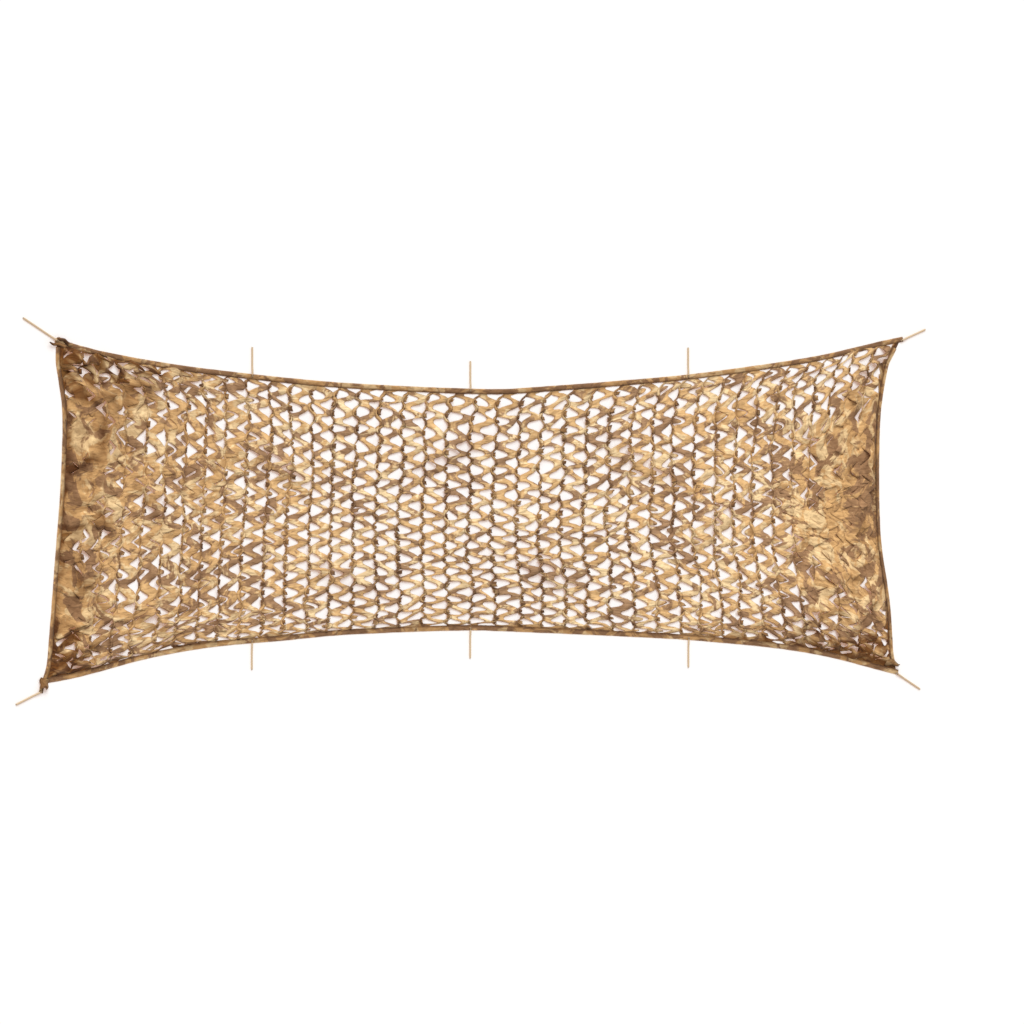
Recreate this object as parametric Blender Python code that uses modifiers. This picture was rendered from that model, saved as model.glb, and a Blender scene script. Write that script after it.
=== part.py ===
"""A leaf-cut camouflage net, laid out on the ground with its four corners drawn outwards.

X runs along the net, Y across it and Z up, in metres. The origin is under the middle of the net,
on the ground. The net is one thin sheet, four strips bind its edges, and ten cord ties are sewn on.
"""

import math

import bmesh
import bpy
from mathutils import Vector, noise

# ---------------------------------------------------------------- driving sizes, in metres
# The corners of the bound outline, on average 8.33 m apart along the net and 2.97 m across it.
CORNER_TOP_LEFT = Vector((-4.069, 1.441))
CORNER_TOP_RIGHT = Vector((4.218, 1.544))
CORNER_BOTTOM_LEFT = Vector((-4.2125, -1.468))
CORNER_BOTTOM_RIGHT = Vector((4.166, -1.474))
TAIL_LENGTH = 0.063  # the left binding runs this far past the bottom left corner
TAIL_WAY = Vector((-0.224, -0.975)).normalized()

CLOTH_THICKNESS = 0.0020
BINDING_THICKNESS = 0.0015
GAP = 0.0003  # between pieces that touch
BINDING_HEIGHT = 2 * BINDING_THICKNESS + CLOTH_THICKNESS + 2 * GAP
LONG_BINDING_WIDTH = 0.045
SHORT_BINDING_WIDTH = 0.038
TIE_DIAMETER = 0.016
TIE_OVERLAP = 0.025  # the sewn end of a tie, on top of the binding
TIE_STEP = 0.018  # past the binding's edge a tie starts down to the ground
TIE_DROP = 0.052  # and it is down this much further on

# The cloth's raw edge stops inside the binding's fold, and its flat margin runs a little past it.
CLOTH_INSET = 0.008
CLOTH_MARGIN = 0.070
CLOTH_EDGE_Z = BINDING_HEIGHT / 2
CLOTH_GROUND_Z = CLOTH_THICKNESS / 2 + 0.0002

# The leaf cuts stand in rows along the net and in columns that hang from straight stems of cloth.
STEM_COUNT = 40
ROW_COUNT = 16
RIPPLE = 0.011  # half the height of the small waves that the opened cuts leave
COLUMNS = 2 * (STEM_COUNT - 1)
NET_LENGTH = (CORNER_BOTTOM_RIGHT - CORNER_BOTTOM_LEFT).length

# ---------------------------------------------------------------- tables
# The edges: name: (first corner, second corner, side that is inward, how far it bows inwards as
# (fraction along, bow in metres) rows).
EDGES = {
    "top": (CORNER_TOP_LEFT, CORNER_TOP_RIGHT, -1, (
        (0.0, 0.0), (0.02, 0.049), (0.05, 0.110), (0.10, 0.184), (0.15, 0.244), (0.26, 0.343),
        (0.34, 0.395), (0.50, 0.449), (0.56, 0.429), (0.68, 0.365), (0.74, 0.325), (0.82, 0.251),
        (0.89, 0.174), (0.94, 0.097), (0.97, 0.045), (1.0, 0.0))),
    "bottom": (CORNER_BOTTOM_LEFT, CORNER_BOTTOM_RIGHT, 1, (
        (0.0, 0.0), (0.03, 0.039), (0.055, 0.082), (0.12, 0.210), (0.19, 0.299), (0.27, 0.350),
        (0.34, 0.395), (0.48, 0.426), (0.55, 0.407), (0.69, 0.353), (0.76, 0.317), (0.86, 0.238),
        (0.92, 0.157), (0.975, 0.049), (1.0, 0.0))),
    "left": (CORNER_BOTTOM_LEFT, CORNER_TOP_LEFT, -1, (
        (0.0, 0.0), (0.03, 0.032), (0.06, 0.051), (0.14, 0.061), (0.26, 0.074), (0.35, 0.082),
        (0.55, 0.102), (0.68, 0.102), (0.75, 0.096), (0.81, 0.081), (0.85, 0.058), (0.89, 0.032),
        (0.93, 0.009), (1.0, 0.0))),
    "right": (CORNER_BOTTOM_RIGHT, CORNER_TOP_RIGHT, 1, (
        (0.0, 0.0), (0.035, 0.022), (0.065, 0.044), (0.11, 0.057), (0.19, 0.079), (0.27, 0.118),
        (0.35, 0.167), (0.43, 0.199), (0.58, 0.218), (0.75, 0.216), (0.83, 0.190), (0.88, 0.161),
        (0.915, 0.137), (0.955, 0.071), (1.0, 0.0))),
}
# Bindings: (name, edge, width, where along the edge it starts and ends, steps between). The long
# strips reach the corners, except at the bottom left, where the left one runs on as a tail.
BINDINGS = (
    ("binding_top", "top", LONG_BINDING_WIDTH, 0.0, 1.0, 44),
    ("binding_bottom", "bottom", LONG_BINDING_WIDTH, 0.0085, 1.0, 44),
    ("binding_left", "left", SHORT_BINDING_WIDTH, 0.0, 0.974, 18),
    ("binding_right", "right", SHORT_BINDING_WIDTH, 0.030, 0.962, 18),
)

# Main folds: (centre x, centre y, half length, half width, angle in degrees, height). Each is a
# soft ridge. The corners are drawn out, so folds fan from them, and both ends lie in ruffles.
FOLDS = (
    # left end
    (-3.87, 1.30, 0.19, 0.055, -25, 0.050), (-3.94, 1.18, 0.19, 0.050, -54, 0.048),
    (-3.75, 0.98, 0.24, 0.060, -40, 0.075), (-3.58, 0.64, 0.20, 0.065, -93, 0.066),
    (-3.84, 0.44, 0.18, 0.070, 34, 0.055), (-3.88, -0.10, 0.13, 0.050, 6, 0.045),
    (-3.82, -0.54, 0.22, 0.045, -90, 0.052), (-3.88, -0.64, 0.19, 0.060, 38, 0.050),
    (-3.91, -0.97, 0.20, 0.060, 37, 0.058), (-3.88, -1.18, 0.22, 0.050, 24, 0.055),
    (-3.71, -1.30, 0.32, 0.045, 11, 0.040), (-3.59, -0.08, 0.19, 0.070, -64, 0.050),
    (-3.60, -0.83, 0.18, 0.065, -65, 0.046), (-3.30, 1.06, 0.20, 0.060, -24, 0.036),
    (-3.19, 0.13, 0.24, 0.080, -61, 0.032), (-3.21, -0.89, 0.23, 0.070, -34, 0.036),
    # middle
    (-1.98, 0.39, 0.31, 0.090, -24, 0.026), (-1.50, -0.55, 0.32, 0.090, -24, 0.024),
    (-0.34, 0.48, 0.32, 0.090, 24, 0.024), (0.64, -0.56, 0.33, 0.090, -24, 0.024),
    (1.54, 0.40, 0.33, 0.090, -23, 0.026), (2.35, -0.09, 0.27, 0.080, 41, 0.028),
    # right end
    (3.94, 1.32, 0.23, 0.045, 39, 0.046), (3.70, 0.96, 0.21, 0.060, 71, 0.056),
    (3.85, 0.36, 0.27, 0.065, 86, 0.062), (3.60, 0.40, 0.23, 0.070, 79, 0.058),
    (3.71, -0.22, 0.22, 0.065, 82, 0.066), (3.89, -0.76, 0.25, 0.060, 65, 0.056),
    (3.64, -0.58, 0.21, 0.070, 39, 0.050), (3.84, -1.25, 0.29, 0.050, -26, 0.054),
    (3.58, -1.22, 0.43, 0.045, -15, 0.044), (3.37, -0.89, 0.22, 0.070, 23, 0.040),
    (3.32, 0.58, 0.27, 0.075, -55, 0.036), (3.11, -0.26, 0.23, 0.075, 49, 0.034),
)

# How widely the stems stand along the net, and the rows across it: (fraction, relative size) rows.
# Open cuts let the cloth stretch, and the rows crowd together at the long edges.
COLUMN_WIDTHS = (
    (0.0, 0.84), (0.08, 0.88), (0.18, 0.955), (0.32, 1.03), (0.44, 1.11), (0.56, 1.12),
    (0.72, 1.05), (0.84, 0.95), (0.92, 0.84), (1.0, 0.80))
ROW_HEIGHTS = (
    (0.0, 0.60), (0.05, 0.70), (0.13, 0.87), (0.25, 0.97), (0.38, 0.99), (0.50, 1.00),
    (0.62, 1.02), (0.75, 1.05), (0.87, 1.10), (1.0, 0.92))

# Where the cloth is drawn aside: (x, y, half length, half height, pull in x, pull in y).
PULLS = (
    (-1.30, -0.90, 0.80, 0.24, 0.0, -0.040), (1.60, -0.95, 0.70, 0.22, 0.0, -0.030),
    (0.20, 0.15, 1.10, 0.65, 0.0, -0.060), (-3.55, 1.05, 0.45, 0.30, -0.05, 0.04),
    (3.80, 0.82, 0.55, 0.42, 0.05, 0.18), (3.70, -0.85, 0.55, 0.36, 0.06, -0.13),
    (-3.60, -1.05, 0.45, 0.30, -0.04, -0.03), (1.70, 0.30, 0.40, 0.40, 0.02, 0.02),
    (-3.30, 0.78, 0.80, 0.34, 0.0, 0.10), (-3.20, -0.72, 0.80, 0.30, 0.0, -0.08),
)
DRIFT = 0.030  # how far the stems and rows wander at most
DRIFT_LENGTH = 0.55
DRIFT_SEEDS = (3.1, 11.3)  # along the net and across it
GRIP_START = 0.020  # the bindings hold the cloth still this far in
GRIP_FADE = 0.080  # and let go of it over this distance

# The widest gaps: (stem to the left of the gap, row above the bottom).
WIDE_GAPS = ((6, 11), (8, 4), (12, 8), (14, 12), (16, 3), (20, 7),
             (22, 11), (25, 4), (28, 8), (31, 12), (33, 5), (36, 13))

# Ties along the long edges: (name, edge, fraction along the edge, free length).
EDGE_TIES = (
    ("tie_top_left", "top", 0.2205, 0.230), ("tie_top_middle", "top", 0.4735, 0.238),
    ("tie_top_right", "top", 0.7345, 0.237), ("tie_bottom_left", "bottom", 0.2352, 0.226),
    ("tie_bottom_middle", "bottom", 0.4859, 0.242), ("tie_bottom_right", "bottom", 0.7444, 0.242),
)
# Ties at the corners: (name, where it leaves the binding, direction in degrees, free length).
CORNER_TIES = (
    ("tie_corner_top_left", CORNER_TOP_LEFT + Vector((-0.006, -0.014)), 149.0, 0.350),
    ("tie_corner_top_right", CORNER_TOP_RIGHT + Vector((-0.002, -0.030)), 22.0, 0.259),
    ("tie_corner_bottom_left", CORNER_BOTTOM_LEFT + Vector((-0.012, -0.070)), -155.5, 0.237),
    ("tie_corner_bottom_right", CORNER_BOTTOM_RIGHT + Vector((0.004, 0.004)), -30.5, 0.267),
)

OCHRE = (0.50, 0.28, 0.10, 1.0)
BROWN = (0.20, 0.12, 0.07, 1.0)
CORD_TAN = (0.68, 0.46, 0.22, 1.0)


# ---------------------------------------------------------------- the outline and the folds
def table_value(table, fraction):
    """Reads a two-column table along a smooth curve through its rows."""
    last = len(table) - 1
    row = 0
    while row < last - 1 and fraction > table[row + 1][0]:
        row += 1
    (x0, y0), (x1, y1) = table[row], table[row + 1]
    before, after = table[max(row - 1, 0)], table[min(row + 2, last)]
    slope0 = (y1 - before[1]) / (x1 - before[0])
    slope1 = (after[1] - y0) / (after[0] - x0)
    span = x1 - x0
    t = (fraction - x0) / span
    rise = slope0 * span * t * (1 - t) ** 2 - slope1 * span * t * t * (1 - t)
    return y0 + (y1 - y0) * t * t * (3 - 2 * t) + rise


def edge_point(edge, fraction):
    """A point of an edge, which runs from one corner to another and bows inwards."""
    first, second, inward, bow = EDGES[edge]
    chord = second - first
    across = Vector((-chord.y, chord.x)).normalized() * inward
    return first + chord * fraction + across * table_value(bow, fraction)


def patch(u, v):
    """The point of the flat net at u along and v across: a patch between the four edges."""
    across = edge_point("bottom", u) * (1 - v) + edge_point("top", u) * v
    along = edge_point("left", v) * (1 - u) + edge_point("right", v) * u
    low = CORNER_BOTTOM_LEFT * (1 - u) + CORNER_BOTTOM_RIGHT * u
    high = CORNER_TOP_LEFT * (1 - u) + CORNER_TOP_RIGHT * u
    return across + along - low * (1 - v) - high * v


def size_sum(sizes, fraction):
    """The sum of a table's relative sizes from 0 up to a fraction."""
    total = 0.0
    for (start, start_size), (end, end_size) in zip(sizes, sizes[1:]):
        run = min(max(fraction, start), end) - start
        reached = start_size + (end_size - start_size) * run / (end - start)
        total += run * (start_size + reached) / 2
    return total


def spread(index, count, length, sizes):
    """The fraction of a line of the sheet: raw edge, flat margin, then steps of those sizes."""
    if index == 0:
        return CLOTH_INSET / length
    if index == count + 2:
        return 1 - CLOTH_INSET / length
    margin = CLOTH_MARGIN / length
    return margin + (1 - 2 * margin) * size_sum(sizes, (index - 1) / count) / size_sum(sizes, 1.0)


def drift(point, distance):
    """How far the cloth is drawn aside at a point, that distance from the outline."""
    aside = Vector((0.0, 0.0))
    for axis, seed in enumerate(DRIFT_SEEDS):
        place = (point.x / DRIFT_LENGTH, point.y / DRIFT_LENGTH, seed)
        aside[axis] = DRIFT * noise.noise(place)
    for x, y, half_length, half_height, pull_x, pull_y in PULLS:
        away = ((point.x - x) / half_length) ** 2 + ((point.y - y) / half_height) ** 2
        aside += Vector((pull_x, pull_y)) * math.exp(-away)
    t = min(max((distance - GRIP_START) / GRIP_FADE, 0.0), 1.0)
    return aside * t * t * (3 - 2 * t)


def fold_height(point):
    """The tallest of the soft ridges at a point of the net."""
    height = 0.0
    for x, y, half_length, half_width, angle, top in FOLDS:
        away = Vector((point.x - x, point.y - y))
        turn = math.radians(angle)
        along = away.x * math.cos(turn) + away.y * math.sin(turn)
        across = away.y * math.cos(turn) - away.x * math.sin(turn)
        ridge = top * math.exp(-((along / half_length) ** 2) - (across / half_width) ** 2)
        height = max(height, ridge)
    return height


def ripple_height(column, row):
    """The small waves that the opened cuts leave in the cloth, two columns and two rows long."""
    wave = math.sin(math.pi * column / 2) * math.cos(math.pi * row)
    swell = 0.6 + 0.4 * math.sin(0.37 * column + 0.9 * row)
    return RIPPLE * (1 + wave * swell)


# ---------------------------------------------------------------- materials
def cloth_material(name, color):
    material = bpy.data.materials.new(name)
    material.use_nodes = True
    shader = material.node_tree.nodes["Principled BSDF"]
    shader.inputs["Base Color"].default_value = color
    shader.inputs["Roughness"].default_value = 0.85
    shader.inputs["Metallic"].default_value = 0.0
    return material


# ---------------------------------------------------------------- sheets
def folded_grid(name, columns, rows, place, skipped=()):
    """A grid of cloth whose corners are moved by place(column, row), without the skipped cells."""
    bpy.ops.mesh.primitive_grid_add(x_subdivisions=columns, y_subdivisions=rows, size=2)
    sheet = bpy.context.object
    sheet.name = name
    sheet.data.name = name
    for vertex in sheet.data.vertices:
        column = round((vertex.co.x + 1) / 2 * columns)
        row = round((vertex.co.y + 1) / 2 * rows)
        vertex.co = place(column, row)
    if skipped:
        remove_cells(sheet, columns, skipped)
    return sheet


def remove_cells(sheet, columns, skipped):
    """Takes the cells at (column, row) out of a grid, which leaves open gaps."""
    cloth = bmesh.new()
    cloth.from_mesh(sheet.data)
    cloth.faces.ensure_lookup_table()
    gaps = [cloth.faces[row * columns + column] for column, row in skipped]
    bmesh.ops.delete(cloth, geom=gaps, context="FACES")
    cloth.to_mesh(sheet.data)
    cloth.free()


def thicken(sheet, thickness):
    solid = sheet.modifiers.new("thickness", "SOLIDIFY")
    solid.thickness = thickness
    solid.offset = 0.0
    solid.use_even_offset = True


def cloth_point(column, row):
    """Where the corner of a cell of the net's sheet lies."""
    u = spread(column, COLUMNS, NET_LENGTH, COLUMN_WIDTHS)
    height = (edge_point("top", u) - edge_point("bottom", u)).length
    v = spread(row, ROW_COUNT, height, ROW_HEIGHTS)
    point = patch(u, v)
    on_edge = column < 2 or column > COLUMNS or row < 2 or row > ROW_COUNT
    if on_edge:
        return Vector((point.x, point.y, CLOTH_EDGE_Z))
    distance = min(min(u, 1 - u) * NET_LENGTH, min(v, 1 - v) * height)
    point += drift(point, distance)
    z = CLOTH_GROUND_Z + fold_height(point) + ripple_height(column, row)
    return Vector((point.x, point.y, z))


def make_net_cloth():
    """The leaf-cut sheet, lying in its folds, with its widest gaps open."""
    gaps = [(1 + 2 * stem, 1 + row) for stem, row in WIDE_GAPS]
    cloth = folded_grid("net_cloth", COLUMNS + 2, ROW_COUNT + 2, cloth_point, gaps)
    thicken(cloth, CLOTH_THICKNESS)
    return cloth


# ---------------------------------------------------------------- bindings
def binding_strip(name, width, stations):
    """A strip folded over the cloth's edge, along outline points with their inward directions."""
    low = BINDING_THICKNESS / 2
    high = BINDING_HEIGHT - BINDING_THICKNESS / 2
    section = ((width, low), (low, low), (low, high), (width, high))

    def place(column, row):
        point, inward = stations[column]
        depth, z = section[row]
        return Vector((point.x + inward.x * depth, point.y + inward.y * depth, z))

    strip = folded_grid(name, len(stations) - 1, len(section) - 1, place)
    thicken(strip, BINDING_THICKNESS)
    return strip


def edge_stations(edge, start, end, count):
    """Even stations along an edge between two fractions, each with its inward direction."""
    inward = EDGES[edge][2]
    stations = []
    step = 0.002
    for index in range(count + 1):
        fraction = start + (end - start) * index / count
        before = edge_point(edge, max(fraction - step, 0.0))
        tangent = edge_point(edge, min(fraction + step, 1.0)) - before
        across = Vector((-tangent.y, tangent.x)).normalized() * inward
        stations.append((edge_point(edge, fraction), across))
    return stations


def make_bindings():
    strips = []
    for name, edge, width, start, end, count in BINDINGS:
        stations = edge_stations(edge, start, end, count)
        if edge == "left":
            corner, across = stations[0]
            stations.insert(0, (corner + TAIL_WAY * TAIL_LENGTH, across))
        strips.append(binding_strip(name, width, stations))
    return strips


# ---------------------------------------------------------------- ties
def tie_height(along):
    """The height of a tie's middle: over the binding at its sewn end, then down on the ground."""
    high = BINDING_HEIGHT + GAP + TIE_DIAMETER / 2
    low = TIE_DIAMETER / 2
    t = min(max((along - TIE_STEP) / TIE_DROP, 0.0), 1.0)
    return high + (low - high) * t * t * (3 - 2 * t)


def make_tie(name, start, direction, free_length):
    """A straight cord from its sewn end on the binding to its free end."""
    angle = math.radians(direction)
    way = Vector((math.cos(angle), math.sin(angle)))
    drops = [TIE_STEP + TIE_DROP * step / 4 for step in range(5)]
    steps = [-TIE_OVERLAP, *drops, free_length / 2, free_length]
    curve = bpy.data.curves.new(name, "CURVE")
    curve.dimensions = "3D"
    curve.bevel_depth = TIE_DIAMETER / 2
    curve.bevel_resolution = 2
    curve.use_fill_caps = True
    spline = curve.splines.new("POLY")
    spline.points.add(len(steps) - 1)
    for point, along in zip(spline.points, steps):
        flat = start + way * along
        point.co = (flat.x, flat.y, tie_height(along), 1.0)
    tie = bpy.data.objects.new(name, curve)
    bpy.context.scene.collection.objects.link(tie)
    return tie


def make_ties():
    ties = []
    for name, edge, fraction, free_length in EDGE_TIES:
        direction = 90.0 if edge == "top" else -90.0
        ties.append(make_tie(name, edge_point(edge, fraction), direction, free_length))
    for name, start, direction, free_length in CORNER_TIES:
        ties.append(make_tie(name, start, direction, free_length))
    return ties


# ---------------------------------------------------------------- assembly
def clear_scene():
    for old in list(bpy.data.objects):
        bpy.data.objects.remove(old)


def collect(objects, material, collection):
    for piece in objects:
        piece.data.materials.append(material)
        for holder in list(piece.users_collection):
            holder.objects.unlink(piece)
        collection.objects.link(piece)


def main():
    clear_scene()
    collection = bpy.data.collections.new("camouflage_netting")
    bpy.context.scene.collection.children.link(collection)
    collect([make_net_cloth()], cloth_material("net_cloth", OCHRE), collection)
    collect(make_bindings(), cloth_material("binding_cloth", BROWN), collection)
    collect(make_ties(), cloth_material("tie_cord", CORD_TAN), collection)


main()
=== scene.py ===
"""The looks of a leaf-cut camouflage net: its printed cloth, sewn bindings and braided cord ties.

Metres throughout, in the frame's own axes: X along the net, Y across it and Z up from the ground.
The sheet and its leaves are built on a lattice of stems and rows: position s counts stems along
the net from the left, and t counts rows of cuts across it from the bottom.
"""

import math

import bpy
import numpy as np
from mathutils import Matrix, Vector, noise

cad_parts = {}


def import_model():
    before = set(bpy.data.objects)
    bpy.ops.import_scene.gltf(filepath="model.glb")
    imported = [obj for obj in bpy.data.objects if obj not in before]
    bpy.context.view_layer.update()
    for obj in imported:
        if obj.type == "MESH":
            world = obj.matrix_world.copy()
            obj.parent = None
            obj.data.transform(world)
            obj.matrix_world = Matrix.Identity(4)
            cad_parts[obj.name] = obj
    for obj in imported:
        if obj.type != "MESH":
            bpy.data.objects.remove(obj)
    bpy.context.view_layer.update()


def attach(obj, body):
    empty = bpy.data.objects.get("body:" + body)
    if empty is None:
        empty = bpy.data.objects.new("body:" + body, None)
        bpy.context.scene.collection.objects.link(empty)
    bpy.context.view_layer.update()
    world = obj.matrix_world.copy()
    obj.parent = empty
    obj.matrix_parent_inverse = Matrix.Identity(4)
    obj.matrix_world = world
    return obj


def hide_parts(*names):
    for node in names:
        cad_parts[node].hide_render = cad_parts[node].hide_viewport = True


# ---- the net's outline, in metres
TOP_LEFT = Vector((-4.069, 1.441))
TOP_RIGHT = Vector((4.218, 1.544))
BOTTOM_LEFT = Vector((-4.2125, -1.468))
BOTTOM_RIGHT = Vector((4.166, -1.474))
TAIL_LENGTH = 0.063  # the left binding runs this far past the bottom left corner
TAIL_WAY = Vector((-0.224, -0.975)).normalized()
NET_LENGTH = (BOTTOM_RIGHT - BOTTOM_LEFT).length
NET_WIDTH = 2.97

# The edges: name: (first corner, second corner, side that is inward, how far it bows inwards as
# (fraction along, bow in metres) rows).
EDGES = {
    "top": (TOP_LEFT, TOP_RIGHT, -1, (
        (0.0, 0.0), (0.02, 0.049), (0.05, 0.110), (0.10, 0.184), (0.15, 0.244), (0.26, 0.343),
        (0.34, 0.395), (0.50, 0.449), (0.56, 0.429), (0.68, 0.365), (0.74, 0.325), (0.82, 0.251),
        (0.89, 0.174), (0.94, 0.097), (0.97, 0.045), (1.0, 0.0))),
    "bottom": (BOTTOM_LEFT, BOTTOM_RIGHT, 1, (
        (0.0, 0.0), (0.03, 0.039), (0.055, 0.082), (0.12, 0.210), (0.19, 0.299), (0.27, 0.350),
        (0.34, 0.395), (0.48, 0.426), (0.55, 0.407), (0.69, 0.353), (0.76, 0.317), (0.86, 0.238),
        (0.92, 0.157), (0.975, 0.049), (1.0, 0.0))),
    "left": (BOTTOM_LEFT, TOP_LEFT, -1, (
        (0.0, 0.0), (0.03, 0.032), (0.06, 0.051), (0.14, 0.061), (0.26, 0.074), (0.35, 0.082),
        (0.55, 0.102), (0.68, 0.102), (0.75, 0.096), (0.81, 0.081), (0.85, 0.058), (0.89, 0.032),
        (0.93, 0.009), (1.0, 0.0))),
    "right": (BOTTOM_RIGHT, TOP_RIGHT, 1, (
        (0.0, 0.0), (0.035, 0.022), (0.065, 0.044), (0.11, 0.057), (0.19, 0.079), (0.27, 0.118),
        (0.35, 0.167), (0.43, 0.199), (0.58, 0.218), (0.75, 0.216), (0.83, 0.190), (0.88, 0.161),
        (0.915, 0.137), (0.955, 0.071), (1.0, 0.0))),
}

# Main folds: (centre x, centre y, half length, half width, angle in degrees, height).
FOLDS = (
    # left end
    (-3.87, 1.30, 0.19, 0.055, -25, 0.050), (-3.94, 1.18, 0.19, 0.050, -54, 0.048),
    (-3.75, 0.98, 0.24, 0.060, -40, 0.075), (-3.58, 0.64, 0.20, 0.065, -93, 0.066),
    (-3.84, 0.44, 0.18, 0.070, 34, 0.055), (-3.88, -0.10, 0.13, 0.050, 6, 0.045),
    (-3.82, -0.54, 0.22, 0.045, -90, 0.052), (-3.88, -0.64, 0.19, 0.060, 38, 0.050),
    (-3.91, -0.97, 0.20, 0.060, 37, 0.058), (-3.88, -1.18, 0.22, 0.050, 24, 0.055),
    (-3.71, -1.30, 0.32, 0.045, 11, 0.040), (-3.59, -0.08, 0.19, 0.070, -64, 0.050),
    (-3.60, -0.83, 0.18, 0.065, -65, 0.046), (-3.30, 1.06, 0.20, 0.060, -24, 0.036),
    (-3.19, 0.13, 0.24, 0.080, -61, 0.032), (-3.21, -0.89, 0.23, 0.070, -34, 0.036),
    # middle
    (-1.98, 0.39, 0.31, 0.090, -24, 0.026), (-1.50, -0.55, 0.32, 0.090, -24, 0.024),
    (-0.34, 0.48, 0.32, 0.090, 24, 0.024), (0.64, -0.56, 0.33, 0.090, -24, 0.024),
    (1.54, 0.40, 0.33, 0.090, -23, 0.026), (2.35, -0.09, 0.27, 0.080, 41, 0.028),
    # right end
    (3.94, 1.32, 0.23, 0.045, 39, 0.046), (3.70, 0.96, 0.21, 0.060, 71, 0.056),
    (3.85, 0.36, 0.27, 0.065, 86, 0.062), (3.60, 0.40, 0.23, 0.070, 79, 0.058),
    (3.71, -0.22, 0.22, 0.065, 82, 0.066), (3.89, -0.76, 0.25, 0.060, 65, 0.056),
    (3.64, -0.58, 0.21, 0.070, 39, 0.050), (3.84, -1.25, 0.29, 0.050, -26, 0.054),
    (3.58, -1.22, 0.43, 0.045, -15, 0.044), (3.37, -0.89, 0.22, 0.070, 23, 0.040),
    (3.32, 0.58, 0.27, 0.075, -55, 0.036), (3.11, -0.26, 0.23, 0.075, 49, 0.034),
)
FOLD_SHARE = 0.85  # the cloth's own relief lies on this much of a main fold's height
FOLD_SHADE = 0.55  # how shaded the foot of a tall fold is
TALL_FOLD = 0.05  # a fold of this height or more has all of that shade
FOOT_PLACE = 0.9  # where the shade lies beside the fold, in half widths
FOOT_SIZE = 0.6

# ---- the leaf cut
STEMS = 40
ROWS = 16
REST_SPACING = NET_LENGTH / STEMS  # between stems of the flat cloth
REST_PITCH = NET_WIDTH / ROWS  # between its rows
# How widely the stems stand along the net, and the rows across it: (fraction, relative size) rows.
# Open cuts let the cloth stretch, and the rows crowd together at the long edges.
COLUMN_WIDTHS = (
    (0.0, 0.84), (0.08, 0.88), (0.18, 0.955), (0.32, 1.03), (0.44, 1.11), (0.56, 1.12),
    (0.72, 1.05), (0.84, 0.95), (0.92, 0.84), (1.0, 0.80))
ROW_HEIGHTS = (
    (0.0, 0.60), (0.05, 0.70), (0.13, 0.87), (0.25, 0.97), (0.38, 0.99), (0.50, 1.00),
    (0.62, 1.02), (0.75, 1.05), (0.87, 1.10), (1.0, 0.92))
CLOTH_INSET = 0.008  # the raw edge stops this far inside the binding's fold
END_MARGIN = 0.070  # from the outline to the first and last stem
SIDE_MARGIN = 0.045  # from the outline to the lowest and highest row
EDGE = 0.3  # lattice positions from -EDGE to 0 are the margin

HOLE_HALF = 0.38  # half of a hole's straight side, in rows
CUT_SHADE = 0.74  # how much of the shades at the cuts, below, shows
UNDER_SHADE = 0.82  # how shaded the cloth is along a hole's upper side, where it turns under
UPPER_SHADE = 0.34  # and along its lower side
ARM_SHADE = 0.38  # how much darker every other arm of a zigzag is, on the side away from the light
STEM_SHADES = (0.08, 0.76)  # how shaded a closed stem's sides are, and how much more an open one's
DULL_SHADE = 0.35  # how shaded the dullest ribbons are
LINE_OFFSETS = (0.0, 0.09, 0.21, 0.31, 0.38, 0.50)  # mesh lines, from a hole's middle
RIBBON_STEPS = (0.0, 0.16, 0.84, 1.0)  # mesh columns across a ribbon
STEM_HALF = 0.022  # half a stem's width, in stem spacings
STEM_SWELL = 0.050  # how much wider a stem is where leaves are twisted into it
STEM_KNOTS = (0.05, 2.6)  # how roped a stem is on the whole, and how much that changes along it
STEM_ROPE = 0.8  # how far a stem's middle stands above its sides, beside half its width
STEM_WAVE = 0.105  # how far a stem is drawn aside between holes, in stem spacings
CLOSED_REACH = 0.48  # how far a hole reaches from its stem, in stem spacings
OPEN_REACH = 0.565
CLOSED_SQUEEZE = 0.86  # a closed hole is this much of HOLE_HALF
OPEN_SQUEEZE = 0.79
# The cuts that stand wide open in every lay of the net: (stem, row) pairs.
WIDE_CUTS = (
    (6, 11), (8, 4), (12, 8), (14, 12), (16, 3), (20, 7), (22, 11), (25, 4), (28, 8), (31, 12),
    (33, 5), (36, 13))
WIDE_REACH = 0.60
HALF_CUT_SHARES = (0.45, 0.75)  # how many of the half cuts at the lower and upper bindings are there
MIN_OPEN = 0.06  # cuts less open than this are closed
BESIDE = 0.3  # from a stem to where its cuts' openness is read, in stem spacings
REACH_SPREAD = (0.08, 0.6)  # how uneven the holes' reach is, and how much of that is above the mean
SQUEEZE_SPREAD = (0.12, 0.7)  # and their squeeze
BOW_SPREAD = (0.20, 1.0)  # and their bow
OPEN_BOW = 1.8  # how much more an open hole's far side bows
LEANS = (0.04, 0.08)  # how far a closed hole may lean, in rows, and how much further an open one
UNRULY = 1.2  # how much more uneven the holes are where the cloth is bunched
BUNCHED_SQUEEZE = 0.32  # how much more a hole is squeezed there
CROWDED_REACH = 0.20  # how much further a hole reaches where the rows are crowded
# How many of the closed cuts lie too flat to show, along the net: (fraction, share) rows.
CLOSED_FLAT = ((0.0, 0.60), (0.08, 0.45), (0.12, 0.30), (0.5, 0.15), (1.0, 0.10))
# Unevenness on the lattice: (how much finer it is from stem to stem, feature size in rows, seed).
SWELL_NOISE = (2.3, 1.3, 9.1)
TURN_NOISE = (1.9, 1.1, 2.2)
DULL_NOISE = (1.7, 0.9, 6.6)
TILT_NOISE = (3.7, 0.8, 5.5)
KNOT_NOISE = (2.9, 0.38, 13.1)

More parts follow.
